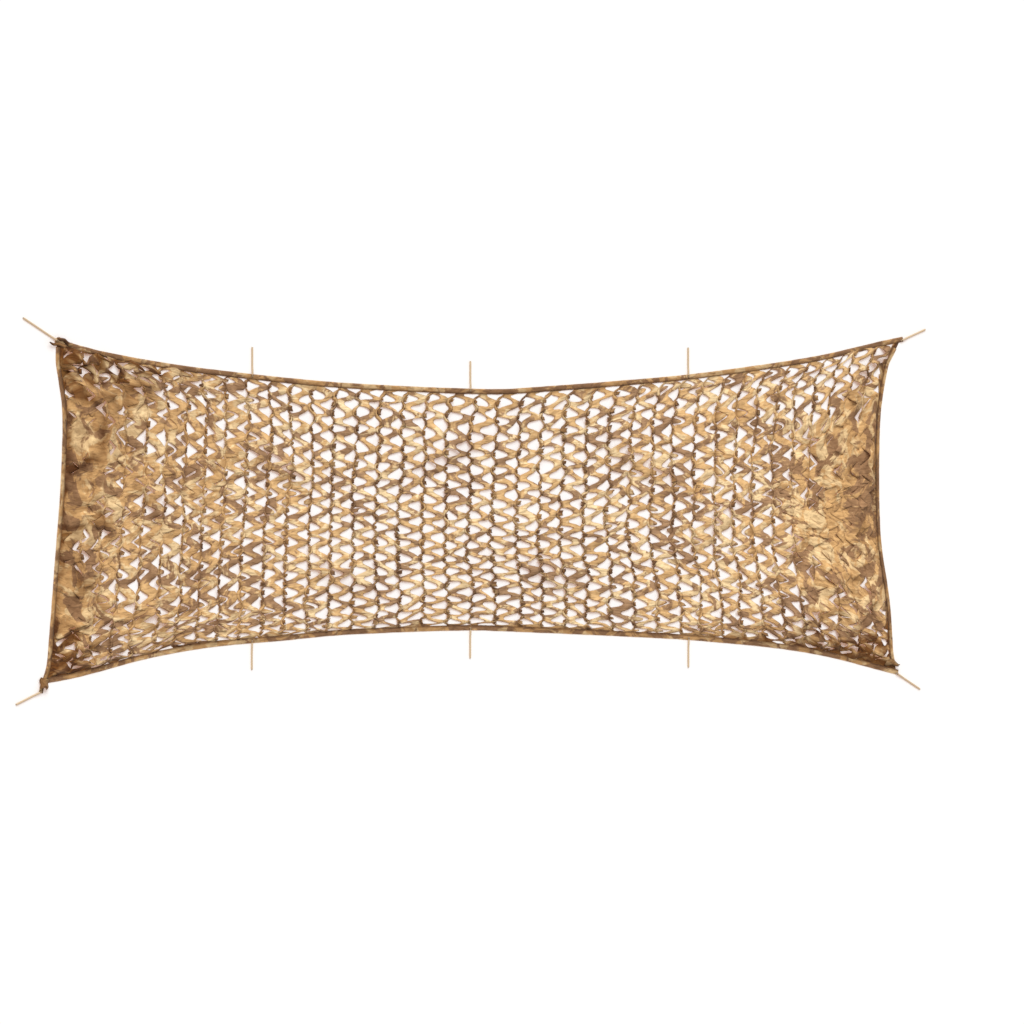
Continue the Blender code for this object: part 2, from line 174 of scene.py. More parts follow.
CLOTH_THICKNESS = 0.0012
EDGE_Z = 0.0028  # the cloth's height inside a binding
GROUND_Z = 0.0012
TOP_Z = 0.084  # nothing rises above this
CROWN = 0.015  # how far the middle of a ribbon stands above its edges
TWIST = 0.006  # how far one edge of a ribbon stands above the other
RIPPLE = 0.005  # height of the ripple from cut to cut
RUFFLE = 0.014  # height of the ruffles where the cuts are closed or the cloth is bunched
RIBBON_LIFT = 0.001
STEM_TILT = 0.004  # how far one side of a stem stands above the other
STEM_LIFT = 0.002  # how far an open stem stands above the ground
GRIP = (0.020, 0.080)  # the bindings hold the cloth this far in, then let go over this distance
FLATTENED = (0.040, 0.090)  # and they press it down this far in, then let go
# How far the sheet drifts from its even lattice: (distance, feature size, seeds for x and y).
BROAD_DRIFT = (0.030, 0.55, (3.1, 11.3))
SMALL_DRIFT = (0.034, 0.18, (7.7, 17.9))  # where the sheet is loose
FINE_DRIFT = (0.040, 0.095, (15.7, 21.9))  # where it is bunched
EVEN_PART = (0.42, 0.15)  # it lies evenly this far along, and loosely from this much further on
LOOSE_SIDES = (1.4, 4.0)  # how loosely it lies at its sides, and how much less per width inwards
# Ruffles are the sum of two noises: (share, feature size, seed).
RUFFLE_NOISES = ((1.0, 0.12, 23.3), (0.8, 0.06, 29.3))
# How shaded the lie of the sheet makes it.
BUNCHED_SHADE = 0.72
# How uneven that is, the bunching that has all of it, feature size and seed.
BLOTCHES = (2.3, 1.3, 0.065, 37.1)
BLOTCH_RANGE = (0.85, 1.8)  # its mean and its highest, beside BUNCHED_SHADE
VALLEY_SHADE = 0.8  # between pleats
DIP_SHADE = 0.28  # between ruffles, where the cuts are closed
GRIP_SHADE = 0.6  # beside the bindings

# How open the cuts are along the middle of the net: (fraction along, openness) rows.
OPENNESS = ((0.0, 0.0), (0.04, 0.02), (0.06, 0.24), (0.10, 0.45), (0.20, 0.54), (0.27, 0.66),
            (0.33, 0.84), (0.42, 0.97), (0.60, 0.93), (0.66, 0.80), (0.74, 0.67), (0.82, 0.56),
            (0.86, 0.50), (0.885, 0.30), (0.90, 0.15), (0.93, 0.07), (0.95, 0.0), (1.0, 0.0))
# Where they differ: (x, y, half length, half height, change).
PATCHES = (
    (3.84, 1.30, 0.44, 0.28, 1.00), (3.42, 1.04, 0.36, 0.28, 0.70), (3.22, 0.74, 0.22, 0.22, 0.40),
    (3.45, -1.05, 0.62, 0.34, 0.52), (-3.55, -1.16, 0.40, 0.18, 0.50),
    (-3.66, 1.17, 0.44, 0.20, 0.48), (-3.84, -0.38, 0.13, 0.11, 0.25),
    (-3.50, -0.60, 0.22, 0.20, 0.30), (3.20, -0.20, 0.12, 0.20, -0.30),
    (-2.70, 0.30, 0.45, 0.50, -0.06), (-1.75, 0.90, 0.45, 0.30, 0.30),
    (3.78, -1.20, 0.34, 0.16, 0.35),
)
OPENNESS_WANDER = 0.022  # how unevenly the open part ends, as a part of the net's length
# Where the cloth is bunched and shaded: (x, y, half length, half height, how much).
BUNCHED = (
    (-3.92, 0.10, 0.36, 1.10, 0.62), (-3.70, 1.22, 0.65, 0.28, 1.25),
    (-3.98, -1.25, 0.26, 0.30, 0.75), (-3.45, 0.80, 0.20, 0.40, 0.40),
    (4.03, 0.72, 0.18, 0.46, 0.36), (3.85, -1.20, 0.55, 0.22, 1.25),
    (-3.20, -1.18, 0.80, 0.16, 0.55), (3.55, 0.00, 0.30, 0.16, 0.25),
    (-3.00, 1.20, 0.80, 0.12, 0.50), (2.60, -1.10, 0.80, 0.14, 0.40),
    (3.60, 0.70, 0.35, 0.30, 0.30), (-2.90, 0.00, 0.60, 1.20, 0.25),
    (3.15, -1.15, 0.50, 0.20, 0.50),
)
# Where the sheet is drawn aside: (x, y, half length, half height, pull in x, pull in y).
PULLS = (
    (-1.30, -0.90, 0.80, 0.24, 0.0, -0.040), (1.60, -0.95, 0.70, 0.22, 0.0, -0.030),
    (0.20, 0.15, 1.10, 0.65, 0.0, -0.060), (-3.55, 1.05, 0.45, 0.30, -0.05, 0.04),
    (3.80, 0.82, 0.55, 0.42, 0.05, 0.18), (3.70, -0.85, 0.55, 0.36, 0.06, -0.13),
    (-3.60, -1.05, 0.45, 0.30, -0.04, -0.03), (1.70, 0.30, 0.40, 0.40, 0.02, 0.02),
    (-3.30, 0.78, 0.80, 0.34, 0.0, 0.10), (-3.20, -0.72, 0.80, 0.30, 0.0, -0.08),
)
# Pleats that run out from the corners: (corner, pleats in two radians, how far they run, height).
PLEATS = (
    (TOP_LEFT, 8.5, 0.80, 0.012), (BOTTOM_LEFT, 7.5, 0.60, 0.008),
    (TOP_RIGHT, 7.0, 0.55, 0.006), (BOTTOM_RIGHT, 8.5, 0.75, 0.010))
PLEAT_START = 0.10  # from the corner to where they have their full height
PLEAT_WANDER = 2.4  # how far they stray sideways, in radians of their wave

# How a leaf lies: (openness, where its bend starts and how long it is, as parts of its length,
# angle in degrees, length and width beside its hole).
LEAF_FORMS = (
    (0.00, 0.45, 0.50, 10, 1.20, 1.14), (0.10, 0.45, 0.50, 16, 1.08, 1.04),
    (0.20, 0.40, 0.50, 22, 0.88, 0.84), (0.34, 0.35, 0.55, 26, 0.72, 0.70),
    (0.46, 0.35, 0.55, 30, 0.60, 0.60), (0.56, 0.38, 0.40, 140, 0.66, 0.56),
    (0.66, 0.20, 0.50, 215, 0.66, 0.56), (0.78, 0.06, 0.75, 300, 0.70, 0.50),
    (0.88, 0.02, 0.95, 400, 0.66, 0.42), (1.00, 0.00, 1.00, 480, 0.62, 0.38),
)
LEAF_STEPS = 9  # mesh steps from root to tip
LEAF_SPLITS = 5  # and from side to side
CURL_STEPS = 6  # within each of a leaf's steps, while its curl is worked out
STATE_SPREAD = 0.36  # how much a leaf differs from the openness around it
BUNCHED_SPREAD = 0.7  # and how much more it does where the cloth is bunched
# How uneven leaves are in length, in their bend's start and length, and in its angle.
LEAF_SPREADS = ((0.85, 1.12), (0.85, 1.15), (0.85, 1.15), (0.88, 1.12))
LEAF_LEAD = 16  # degrees that a leaf may rise by at its root
LEAF_SKEW = 0.25  # how much more one side of a leaf may bend than the other
LEAF_NARROWING = 0.94  # from its root to its tip
LEAF_FOLDED = (0.0, 0.25)  # its hinge shows from this openness, and fully from this much more
LEAF_ROLLED = (0.5, 0.3)  # it rolls up from this openness, and fully from this much more
ROLLED_EVEN = 0.9  # a rolled leaf loses this much of its skew
ROLLED_BLUNT = 0.55  # and this much of its taper
LEAF_ROOT = 0.3  # where its root lies on its stem, in half widths of the stem
LEAF_RISE = 1.12  # how high it may rise, beside the room that is left above its root
LEAF_CROWN = 0.002  # how far its middle stands above its sides
LEAF_SHADES = (0.10, 0.70, 150, 0.80)  # flat, added by that many degrees of curl, and at most
RIM_SHADE = 0.52  # at a leaf's outline
HINGE_SHADE = 0.85  # at its root

# ---- bindings, ties and threads
BINDING_THICKNESS = 0.0012
BINDING_HEIGHT = 0.0056
LONG_BINDING_WIDTH = 0.045
SHORT_BINDING_WIDTH = 0.038
# Bindings: (name, edge, width, where along the edge it starts and ends, steps between).
BINDINGS = (
    ("binding_top", "top", LONG_BINDING_WIDTH, 0.0, 1.0, 700),
    ("binding_bottom", "bottom", LONG_BINDING_WIDTH, 0.0085, 1.0, 700),
    ("binding_left", "left", SHORT_BINDING_WIDTH, 0.0, 0.974, 240),
    ("binding_right", "right", SHORT_BINDING_WIDTH, 0.030, 0.962, 240),
)
# How shaded a binding is, from its fold (0) to its inner edge (1).
BINDING_SHADES = ((0.0, 0.0), (0.10, 0.0), (0.30, 0.25), (0.60, 0.35), (0.84, 0.9), (1.0, 1.0))
SEAM_INSET = 0.007  # from the strip's inner edge to its stitches
STITCH_PITCH = 0.0105
STITCH_LENGTH = 0.0075
# A stitch: (fraction of its length, height above the strip) rows.
STITCH_FORM = ((0.0, -0.0004), (0.2, 0.0004), (0.8, 0.0004), (1.0, -0.0004))
THREAD_RADIUS = 0.0006
PUCKER = 0.0016  # how far the seam's tension moves a strip's edge, and its bulge
BINDING_WANDER = 0.0018  # how far its fold strays sideways
# Noise along a binding: (share, feature size, added to the binding's seed).
PUCKER_NOISES = ((1.0, 0.028, 0), (0.6, 0.011, 4))
WANDER_NOISE = (BINDING_WANDER, 0.09, 8)
EDGE_PROBE = 0.002  # an edge's direction is read this fraction of it before and after a place
TAIL_STEP = 0.012

TIE_DIAMETER = 0.016
TIE_OVERLAP = 0.025  # the length that is sewn down
TIE_STEP = 0.018  # from the outline to where it starts to drop to the ground
TIE_DROP = 0.052  # and the length that it drops over
TIE_GAP = 0.0003  # between a tie and the binding under it
TIE_LOWEST = 0.0002  # no part of a tie lies lower
TIE_SEALED = 0.005  # the melted length at each end
TIE_ROUNDING = 0.004  # the length over which an end narrows
TIE_END_SIZE = 0.55  # an end's size beside the cord's
# Ties along the long edges: (name, edge, fraction along the edge, free length).
EDGE_TIES = (
    ("tie_top_left", "top", 0.2205, 0.230), ("tie_top_middle", "top", 0.4735, 0.238),
    ("tie_top_right", "top", 0.7345, 0.237), ("tie_bottom_left", "bottom", 0.2352, 0.226),
    ("tie_bottom_middle", "bottom", 0.4859, 0.242), ("tie_bottom_right", "bottom", 0.7444, 0.242),
)
# Ties at the corners: (name, where it leaves the binding, direction in degrees, free length).
CORNER_TIES = (
    ("tie_corner_top_left", TOP_LEFT + Vector((-0.006, -0.014)), 149.0, 0.350),
    ("tie_corner_top_right", TOP_RIGHT + Vector((-0.002, -0.030)), 22.0, 0.259),
    ("tie_corner_bottom_left", BOTTOM_LEFT + Vector((-0.012, -0.070)), -155.5, 0.237),
    ("tie_corner_bottom_right", BOTTOM_RIGHT + Vector((0.004, 0.004)), -30.5, 0.267),
)
BRAID_SIDES = 20
BRAID_STEP = 0.0028
BRAID_STRANDS = 5
BRAID_PITCH = 0.045
BRAID_DEPTH = 0.10
TACK_BARS = 8  # threads that sew a tie down
TACK_PITCH = 0.0022
TACK_START = 0.005  # from the tie's end to its first thread
TACK_TUCK = 0.12  # radians that a thread goes on under the cord
# The bindings' turned-up loose ends: (binding, where it starts, direction in degrees, length,
# width at its start and at its tip, angle it curls through).
FLAPS = (
    ("binding_top", (-3.930, 1.383), 154.0, 0.150, 0.038, 0.022, 15.0),
    ("binding_left", (-3.985, 1.376), 172.0, 0.164, 0.038, 0.016, 20.0),
    ("binding_left", (-4.172, -1.420), -106.0, 0.095, 0.090, 0.070, 40.0),
    ("binding_right", (4.040, -1.345), -18.0, 0.135, 0.092, 0.018, 25.0),
)
FLAP_STEPS = 12
FLAP_SPLITS = 6
FLAP_RISE = 0.003  # above the binding
FLAP_SWAY = 0.006  # how far it strays sideways
FLAP_RAGGED = 0.008  # how uneven its tip is
FLAP_CROWN = 0.020  # how far its middle stands above its sides
FLAP_SHADE = 0.70  # in its middle; its rim is in full shade

# ---- colours
SAND = (0.755, 0.553, 0.325, 1.0)
OCHRE = (0.618, 0.379, 0.179, 1.0)
BROWN = (0.334, 0.192, 0.106, 1.0)
FADED = (0.45, 0.42, 0.40, 1.0)
SHADOW_TINT = (0.205, 0.122, 0.056, 1.0)
OPEN_TONE = (1.29, 1.34, 1.31, 1.0)  # multiplies the print's colour where the cuts are open; CLOSED_TONE, below, where they are closed
CLOSED_TONE = (1.30, 1.26, 1.12, 1.0)
BINDING_TONE = (0.88, 0.83, 0.74, 1.0)
# The print is made of noises, each of which changes the colour over a short range.
SAND_RANGE = (0.490, 0.560)  # from ochre to sand
NET_BROWN = 0.507  # and to brown from here
BINDING_BROWN = 0.475
BROWN_RUN = 0.06
FADING_RANGE = (0.35, 0.70)  # from faded to full colour
FADING = 0.38  # how much of the fading shows
CREASE_RANGE = (0.46, 0.34)  # from unshaded to shaded
CREASE_SHADE = 0.18
STREAK_RANGE = (0.50, 0.34)
STREAK_SHADE = 0.28
CORD_DARK = (0.42, 0.29, 0.165, 1.0)
CORD_LIGHT = (0.68, 0.52, 0.34, 1.0)
CORD_END = (0.17, 0.14, 0.12, 1.0)
THREAD = (0.30, 0.19, 0.10, 1.0)
WHITE = (1.0, 1.0, 1.0, 1.0)
FLOOR_COLOR = (0.615, 0.73, 0.775, 1.0)
FLOOR_GLOW = (1.0, 0.42, 0.18, 1.0)  # a warm lit table, so that narrow slits don't go grey
FLOOR_GLOW_STRENGTH = 0.30
FLOOR_SIZE = 900
FLOOR_Z = -0.0005
SKY_STRENGTH = 0.72
SUN_STRENGTH = 2.3
SUN_SIZE = math.radians(38)
SUN_WAY = Vector((0.25, -0.95, -1.0))
PRINT_MAP = "print"
# the layer name: painted shade on the cloth, and on the cords their heat-sealed ends, which are darker
# in their own colour
SHADE_AND_SEAL = "shade"
CRUMPLE = "crumple"
# Noise patterns: name: (scale, detail, offset, distortion, how much finer it is across, roughness).
PATTERNS = {
    "sand": (4.2, 4.0, (3.0, 7.0, 0.0), 1.2, 1.2, 0.58),
    "brown": (3.8, 4.0, (19.0, 31.0, 0.0), 1.2, 1.3, 0.58),
    "fading": (11.0, 4.0, (0.0, 0.0, 0.0), 0.3, 1.0, 0.5),
    "creases": (10.0, 2.0, (5.0, 5.0, 0.0), 0.8, 1.0, 0.5),
    "streaks": (13.0, 0.6, (9.0, 2.0, 0.0), 0.5, 3.2, 0.5),
    "weave": (900.0, 1.0, (0.0, 0.0, 0.0), 0.0, 1.0, 0.5),
    "fibres": (420.0, 3.0, (0.0, 0.0, 0.0), 0.2, 1.0, 0.5),
}
# Bumps, in metres.
CREASE_BUMP = 0.030
STREAK_BUMP = 0.012
WEAVE_BUMP = 0.0005
FIBRE_BUMP = 0.0006

# ---- camera
CAMERA_DISTANCE = 64.0
CAMERA_YAW = math.radians(28.0)  # how far to the left of straight above it stands
CAMERA_TARGET = Vector((-0.071, 0.0265, 0.0))
CAMERA_RIGHT = 0.303  # how far it is moved aside in its own view
CAMERA_UP = -0.048
CAMERA_LENS = 259.9
CAMERA_SENSOR = 36.0


# ---- small tools
def smooth(value):
    value = np.clip(value, 0.0, 1.0)
    return value * value * (3 - 2 * value)


def between(low, high, part):
    return low + (high - low) * part


def line_value(table, fractions):
    """Reads a two-column table along straight lines between its rows."""
    return np.interp(fractions, *np.array(table).T)


def stacked(*lists):
    """Each list of arrays as one array, with the list along its second axis."""
    return (np.stack(arrays, axis=1) for arrays in lists)


def noise_field(x, y, size, seed):
    """Smooth noise from about -1 to 1 at each point, with features of that size."""
    places = zip((x / size).flat, (y / size).flat)
    return np.array([noise.noise((a, b, seed)) for a, b in places]).reshape(x.shape)


def lattice_noise(s, t, unevenness):
    finer, size, seed = unevenness
    return noise_field(s * finer, t, size, seed)


def uneven(chance, spread, shape, unruly=1.0):
    """Factors of about 1, with a spread from a (how uneven, share above 1) pair."""
    amount, above = spread
    return 1 + amount * unruly * chance.uniform(-1, above, shape)


def table_values(table, fractions):
    """Reads a two-column table along a smooth curve through its rows."""
    x, y = np.array(table).T
    row = np.clip(np.searchsorted(x, fractions) - 1, 0, len(x) - 2)
    before = np.maximum(row - 1, 0)
    after = np.minimum(row + 2, len(x) - 1)
    span = x[row + 1] - x[row]
    slope0 = (y[row + 1] - y[before]) / (x[row + 1] - x[before])
    slope1 = (y[after] - y[row]) / (x[after] - x[row])
    t = (fractions - x[row]) / span
    rise = slope0 * span * t * (1 - t) ** 2 - slope1 * span * t * t * (1 - t)
    return y[row] + (y[row + 1] - y[row]) * t * t * (3 - 2 * t) + rise


def uneven_steps(table, fractions):
    """Where fractions of a line end up when its steps have the table's relative sizes."""
    samples = np.linspace(0.0, 1.0, 401)
    sizes = line_value(table, samples)
    ends = np.concatenate([[0.0], np.cumsum(sizes[1:] + sizes[:-1])])
    return np.interp(fractions, samples, ends / ends[-1])


def unit(vectors):
    return vectors / np.linalg.norm(vectors, axis=-1, keepdims=True)


def level_ways(direction):
    """The level unit vectors that point that many degrees from X, and to the left of it."""
    angle = math.radians(direction)
    way = np.array((math.cos(angle), math.sin(angle), 0.0))
    return way, np.array((-way[1], way[0], 0.0))


def edge_points(edge, fractions):
    """Points of an edge, which runs from one corner to another and bows inwards."""
    first, second, inward, bow = EDGES[edge]
    chord = second - first
    across = Vector((-chord.y, chord.x)).normalized() * inward
    bowed = table_values(bow, fractions)
    return np.array(first) + np.multiply.outer(fractions, chord) + np.multiply.outer(bowed, across)


def patch(u, v):
    """Points of the flat net, u along and v across: a patch between the four edges."""
    across = edge_points("bottom", u) * (1 - v)[..., None] + edge_points("top", u) * v[..., None]
    along = edge_points("left", v) * (1 - u)[..., None] + edge_points("right", v) * u[..., None]
    low = np.multiply.outer(1 - u, BOTTOM_LEFT) + np.multiply.outer(u, BOTTOM_RIGHT)
    high = np.multiply.outer(1 - u, TOP_LEFT) + np.multiply.outer(u, TOP_RIGHT)
    return across + along - low * (1 - v)[..., None] - high * v[..., None]


# ---- the lattice on the ground
def lattice_fraction(position, count, margin, length, sizes):
    """The fraction of the net's length or width at a lattice position, its margins included."""
    inner = margin + (length - 2 * margin) * uneven_steps(sizes, np.clip(position, 0, count) / count)
    outer = (margin - CLOTH_INSET) / EDGE
    below = np.clip(-position, 0, EDGE) * outer
    above = np.clip(position - count, 0, EDGE) * outer
    return (inner - below + above) / length


def lattice_uv(s, t):
    u = lattice_fraction(s, STEMS - 1, END_MARGIN, NET_LENGTH, COLUMN_WIDTHS)
    height = np.linalg.norm(edge_points("top", u) - edge_points("bottom", u), axis=-1)
    v = lattice_fraction(t, ROWS, SIDE_MARGIN, height, ROW_HEIGHTS)
    return u, v, height


def edge_distance(u, v, height):
    along = np.minimum(u, 1 - u) * NET_LENGTH
    across = np.minimum(v, 1 - v) * height
    return np.minimum(along, across)


def mound(x, y, row):
    """A soft mound, 1 in its middle, from a table row that starts with its place and half sizes."""
    return np.exp(-(((x - row[0]) / row[2]) ** 2) - ((y - row[1]) / row[3]) ** 2)


def fold_heights(x, y):
    """The tallest of the soft ridges at each point, and how far it lies in the ridges' shade."""
    height = np.zeros(x.shape)
    shaded = np.zeros(x.shape)
    for fold_x, fold_y, half_length, half_width, angle, top in FOLDS:
        turn = math.radians(angle)
        along = ((x - fold_x) * math.cos(turn) + (y - fold_y) * math.sin(turn)) / half_length
        across = ((y - fold_y) * math.cos(turn) - (x - fold_x) * math.sin(turn)) / half_width
        height = np.maximum(height, top * np.exp(-(along ** 2) - across ** 2))
        foot = np.exp(-(along ** 2) - ((across + FOOT_PLACE) / FOOT_SIZE) ** 2)
        shaded = np.maximum(shaded, np.minimum(top / TALL_FOLD, 1.0) * foot)
    return height * FOLD_SHARE, shaded


def corner_pleats(x, y):
    """The pleats that run out from the corners: their height, and how deep in a valley it is."""
    height = np.zeros(x.shape)
    valley = np.zeros(x.shape)
    wander = PLEAT_WANDER * noise_field(x, y, 0.30, 41.0)
    for corner, count, reach, top in PLEATS:
        away = np.hypot(x - corner.x, y - corner.y)
        turn = np.arctan2(y - corner.y, x - corner.x)
        wave = 0.5 + 0.5 * np.sin(math.pi * count * turn + wander)
        fade = smooth(away / PLEAT_START) * (1 - smooth(away / reach))
        height = height + top * wave * fade
        valley = valley + (1 - wave) ** 2 * fade
    return height, np.clip(valley, 0.0, 1.0)


def openness(s, t):
    """How far the cuts stand open, from 0 to 1, at lattice positions."""
    u, v, _ = lattice_uv(s, t)
    points = patch(u, v)
    x, y = points[..., 0], points[..., 1]
    opened = line_value(OPENNESS, u + OPENNESS_WANDER * noise_field(x, y, 0.34, 51.7))
    for row in PATCHES:
        opened = opened + row[4] * mound(x, y, row)
    return np.clip(opened, 0.0, 1.0)


def bunching(x, y):
    """How bunched the cloth is, from 0 to about 1."""
    return sum(row[4] * mound(x, y, row) for row in BUNCHED)


def release(distance, start_and_run):
    """0 up to the start, such as a binding's reach, and 1 from the end of the run after it."""
    start, run = start_and_run
    return smooth((distance - start) / run)


def drifted(x, y, loose, bunched):
    """How far the sheet is drawn from its even lattice, along x and along y."""
    drift = []
    for axis in (0, 1):
        broad, small, fine = (
            distance * noise_field(x, y, size, seeds[axis])
            for distance, size, seeds in (BROAD_DRIFT, SMALL_DRIFT, FINE_DRIFT))
        pulled = sum(row[4 + axis] * mound(x, y, row) for row in PULLS)
        drift.append(broad + loose * small + bunched * fine + pulled)
    return drift


def looseness(u, v, closed):
    """How far the sheet's small drift shows."""
    beside = smooth(LOOSE_SIDES[0] - LOOSE_SIDES[1] * np.minimum(v, 1 - v))
    outer = np.maximum(release(u, EVEN_PART), beside)
    return 0.5 + 0.5 * np.maximum(closed ** 3, outer)


def bunched_shade(x, y, bunched):
    """The blotchy shade of bunched cloth."""
    amount, full, size, seed = BLOTCHES
    mean, most = BLOTCH_RANGE
    blotches = amount * np.minimum(bunched, full) * noise_field(x, y, size, seed)
    return BUNCHED_SHADE * bunched * np.clip(mean + blotches, 0.0, most)


def ground(s, t, lift=0.0):
    """Where the cloth's folds put lattice positions, lifted that much, and how shaded they lie."""
    u, v, height = lattice_uv(s, t)
    flat = patch(u, v)
    distance = edge_distance(u, v, height)
    free = release(distance, GRIP)
    raised = release(distance, FLATTENED)
    x, y = flat[..., 0], flat[..., 1]
    closed = 1 - openness(s, t)
    bunched = bunching(x, y)
    drift = drifted(x, y, looseness(u, v, closed), bunched)
    x = x + drift[0] * free
    y = y + drift[1] * free
    pleats, valley = corner_pleats(x, y)
    waves = RIPPLE * (1 + np.cos(math.pi * s) * np.cos(math.pi * t))
    ruffles = sum(
        share * np.abs(noise_field(x, y, size, seed)) for share, size, seed in RUFFLE_NOISES)
    ruffled = RUFFLE * np.maximum(closed, 0.9 * bunched) * ruffles
    folds, behind = fold_heights(x, y)
    z = GROUND_Z + folds + pleats + waves + ruffled + lift
    z = between(EDGE_Z, z, raised)
    shaded = bunched_shade(x, y, bunched) + FOLD_SHADE * behind
    shaded = shaded + VALLEY_SHADE * valley + DIP_SHADE * closed * smooth(1 - 3 * ruffles)
    return np.stack([x, y, z], axis=-1), shaded + GRIP_SHADE * (1 - raised) ** 2


# ---- the cuts
class Cuts:
    """The sheet's cuts: each opens into a hole, on the right (side 0) or left (side 1) of a stem."""

    def __init__(self, seed):
        chance = np.random.default_rng(seed)
        shape = (2, STEMS, ROWS + 1)
        stems, rows = np.meshgrid(np.arange(STEMS), np.arange(ROWS + 1.0), indexing="ij")
        self.middle = np.stack([rows + 0.5, rows])
        self.opened = np.stack([openness(stems + BESIDE, rows + 0.5), openness(stems - BESIDE, rows)])
        self.kept = self.choose(chance, stems, shape)
        u, v, _ = lattice_uv(stems, self.middle)
        places = patch(u, v)
        bunched = bunching(places[..., 0], places[..., 1])
        unruly = 1 + UNRULY * bunched
        self.reach = between(CLOSED_REACH, OPEN_REACH, self.opened)
        self.reach *= uneven(chance, REACH_SPREAD, shape, unruly)
        self.reach *= 1 + CROWDED_REACH * (1 - line_value(ROW_HEIGHTS, v))
        self.squeeze = between(CLOSED_SQUEEZE, OPEN_SQUEEZE, self.opened)
        self.squeeze *= uneven(chance, SQUEEZE_SPREAD, shape, unruly)
        self.squeeze *= 1 - BUNCHED_SQUEEZE * np.minimum(bunched, 1.0)
        self.bow = (1.0 + OPEN_BOW * self.opened ** 2) * uneven(chance, BOW_SPREAD, shape)
        leans = LEANS[0] + LEANS[1] * self.opened ** 2
        self.lean = chance.uniform(-1, 1, shape) * leans * unruly
        spread = STATE_SPREAD * (1 + BUNCHED_SPREAD * bunched) * chance.uniform(-1, 1, shape)
        self.state = np.clip(self.opened + spread * (self.opened > MIN_OPEN), 0.0, 1.0)
        wide = (0, *np.array(WIDE_CUTS).T)
        self.reach[wide] = WIDE_REACH
        self.squeeze[wide] = 1.0
        self.state[wide] = 1.0

    def choose(self, chance, stems, shape):
        """Which cuts are there and show: some half cuts and closed ones don't."""
        kept = np.ones(shape, bool)
        kept[0, STEMS - 1] = False
        kept[0, :, ROWS] = False
        kept[1, 0] = False
        kept[1, :, (0, ROWS)] &= chance.random((2, STEMS)) < np.reshape(HALF_CUT_SHARES, (2, 1))
        flat = chance.random(shape) < line_value(CLOSED_FLAT, stems / STEMS)
        return kept & ~((self.opened < MIN_OPEN) & flat)


def stem_wave(t, opened):
    """How far a stem is drawn to one side, in stem spacings."""
    return -STEM_WAVE * (0.55 + 0.45 * opened) * np.cos(2 * math.pi * (t - 0.5))


class HoleSide:
    """The holes along one side of a stem, at each mesh line."""

    def __init__(self, cuts, side, stem, lines):
        row = np.floor(lines) if side == 0 else np.round(lines)
        row = np.clip(row, 0, ROWS).astype(int)
        cut = (side, stem, row)
        away = lines - cuts.middle[cut]
        far = np.abs(away)
        within = (lines >= 0) & (lines <= ROWS)
        self.above = away > 0
        self.kept = cuts.kept[cut]
        self.cut = (far < HOLE_HALF - 1e-6) & within & self.kept
        bowed = 1 - (np.minimum(far, HOLE_HALF) / HOLE_HALF) ** cuts.bow[cut]
        self.depth = np.where(self.cut, bowed, 0.0)
        self.reach = cuts.reach[cut] * self.depth
        self.lean = cuts.lean[cut] * self.depth
        half = HOLE_HALF * cuts.squeeze[cut]
        beyond = half + (far - HOLE_HALF) * (0.5 - half) / (0.5 - HOLE_HALF)
        squeezed = np.where(far < HOLE_HALF, far * half / HOLE_HALF, beyond)
        self.shift = np.where(within, (squeezed - far) * np.sign(away), 0.0)


def mesh_lines():
    steps = sorted({0.5 + way * offset for offset in LINE_OFFSETS for way in (-1, 1)})
    inner = [row + step for row in range(ROWS) for step in steps[:-1]]
    return np.array([-EDGE, -EDGE / 2, *inner, ROWS, ROWS + EDGE / 2, ROWS + EDGE])


class Columns:
    """The sheet's columns of points, collected from left to right."""

    def __init__(self, lines):
        self.lines = lines
        self.s, self.t, self.lift, self.shade = [], [], [], []
        self.merged = {}  # column: (which way it merges, at which lines)

    def add(self, s, t=None, lift=0.0, shade=0.0, merged=None):
        none = np.zeros(len(self.lines))
        if merged is not None:
            self.merged[len(self.s)] = merged
        self.s.append(none + s)
        self.t.append(self.lines if t is None else t)
        self.lift.append(none + lift)
        self.shade.append(none + shade)


def add_ribbon(columns, stem, left, right, wave, next_wave):
    """Adds the zigzag ribbon between two stems, whose free edges are the holes' far edges."""
    lines = columns.lines
    low_side = stem + STEM_HALF + left.reach + wave * (1 - left.depth)
    high_side = stem + 1 - STEM_HALF - right.reach + next_wave * (1 - right.depth)
    here = np.full(len(lines), stem + 0.5)
    opened = openness(here, lines)
    swell = 1 + 0.5 * lattice_noise(here, lines, SWELL_NOISE)
    turn = TWIST * np.sin(2 * math.pi * lines) * (1 + lattice_noise(here, lines, TURN_NOISE))
    dull = DULL_SHADE * np.maximum(lattice_noise(here, lines, DULL_NOISE), 0.0)
    arms = ARM_SHADE * smooth(np.sin(2 * math.pi * lines)) * (0.4 + 0.3 * left.kept + 0.3 * right.kept)
    free_edges = {0.0: (-1, left), 1.0: (1, right)}
    for step in RIBBON_STEPS:
        aside = 2 * step - 1
        crown = CROWN * swell * (1 - aside ** 2) * (0.3 + 0.7 * opened)
        lift = np.maximum(RIBBON_LIFT + crown + turn * aside * opened, 0.0)
        t = lines + (left.shift + left.lean) * (1 - step) + (right.shift + right.lean) * step
        shade = dull + arms
        merged = None
        if step in free_edges:
            way, holes = free_edges[step]
            merged = (way, ~holes.cut)
            shade = np.where(holes.above, UNDER_SHADE, UPPER_SHADE)
        s = between(low_side, high_side, step)
        columns.add(s, t, lift, shade * (0.7 + 0.3 * opened), merged)


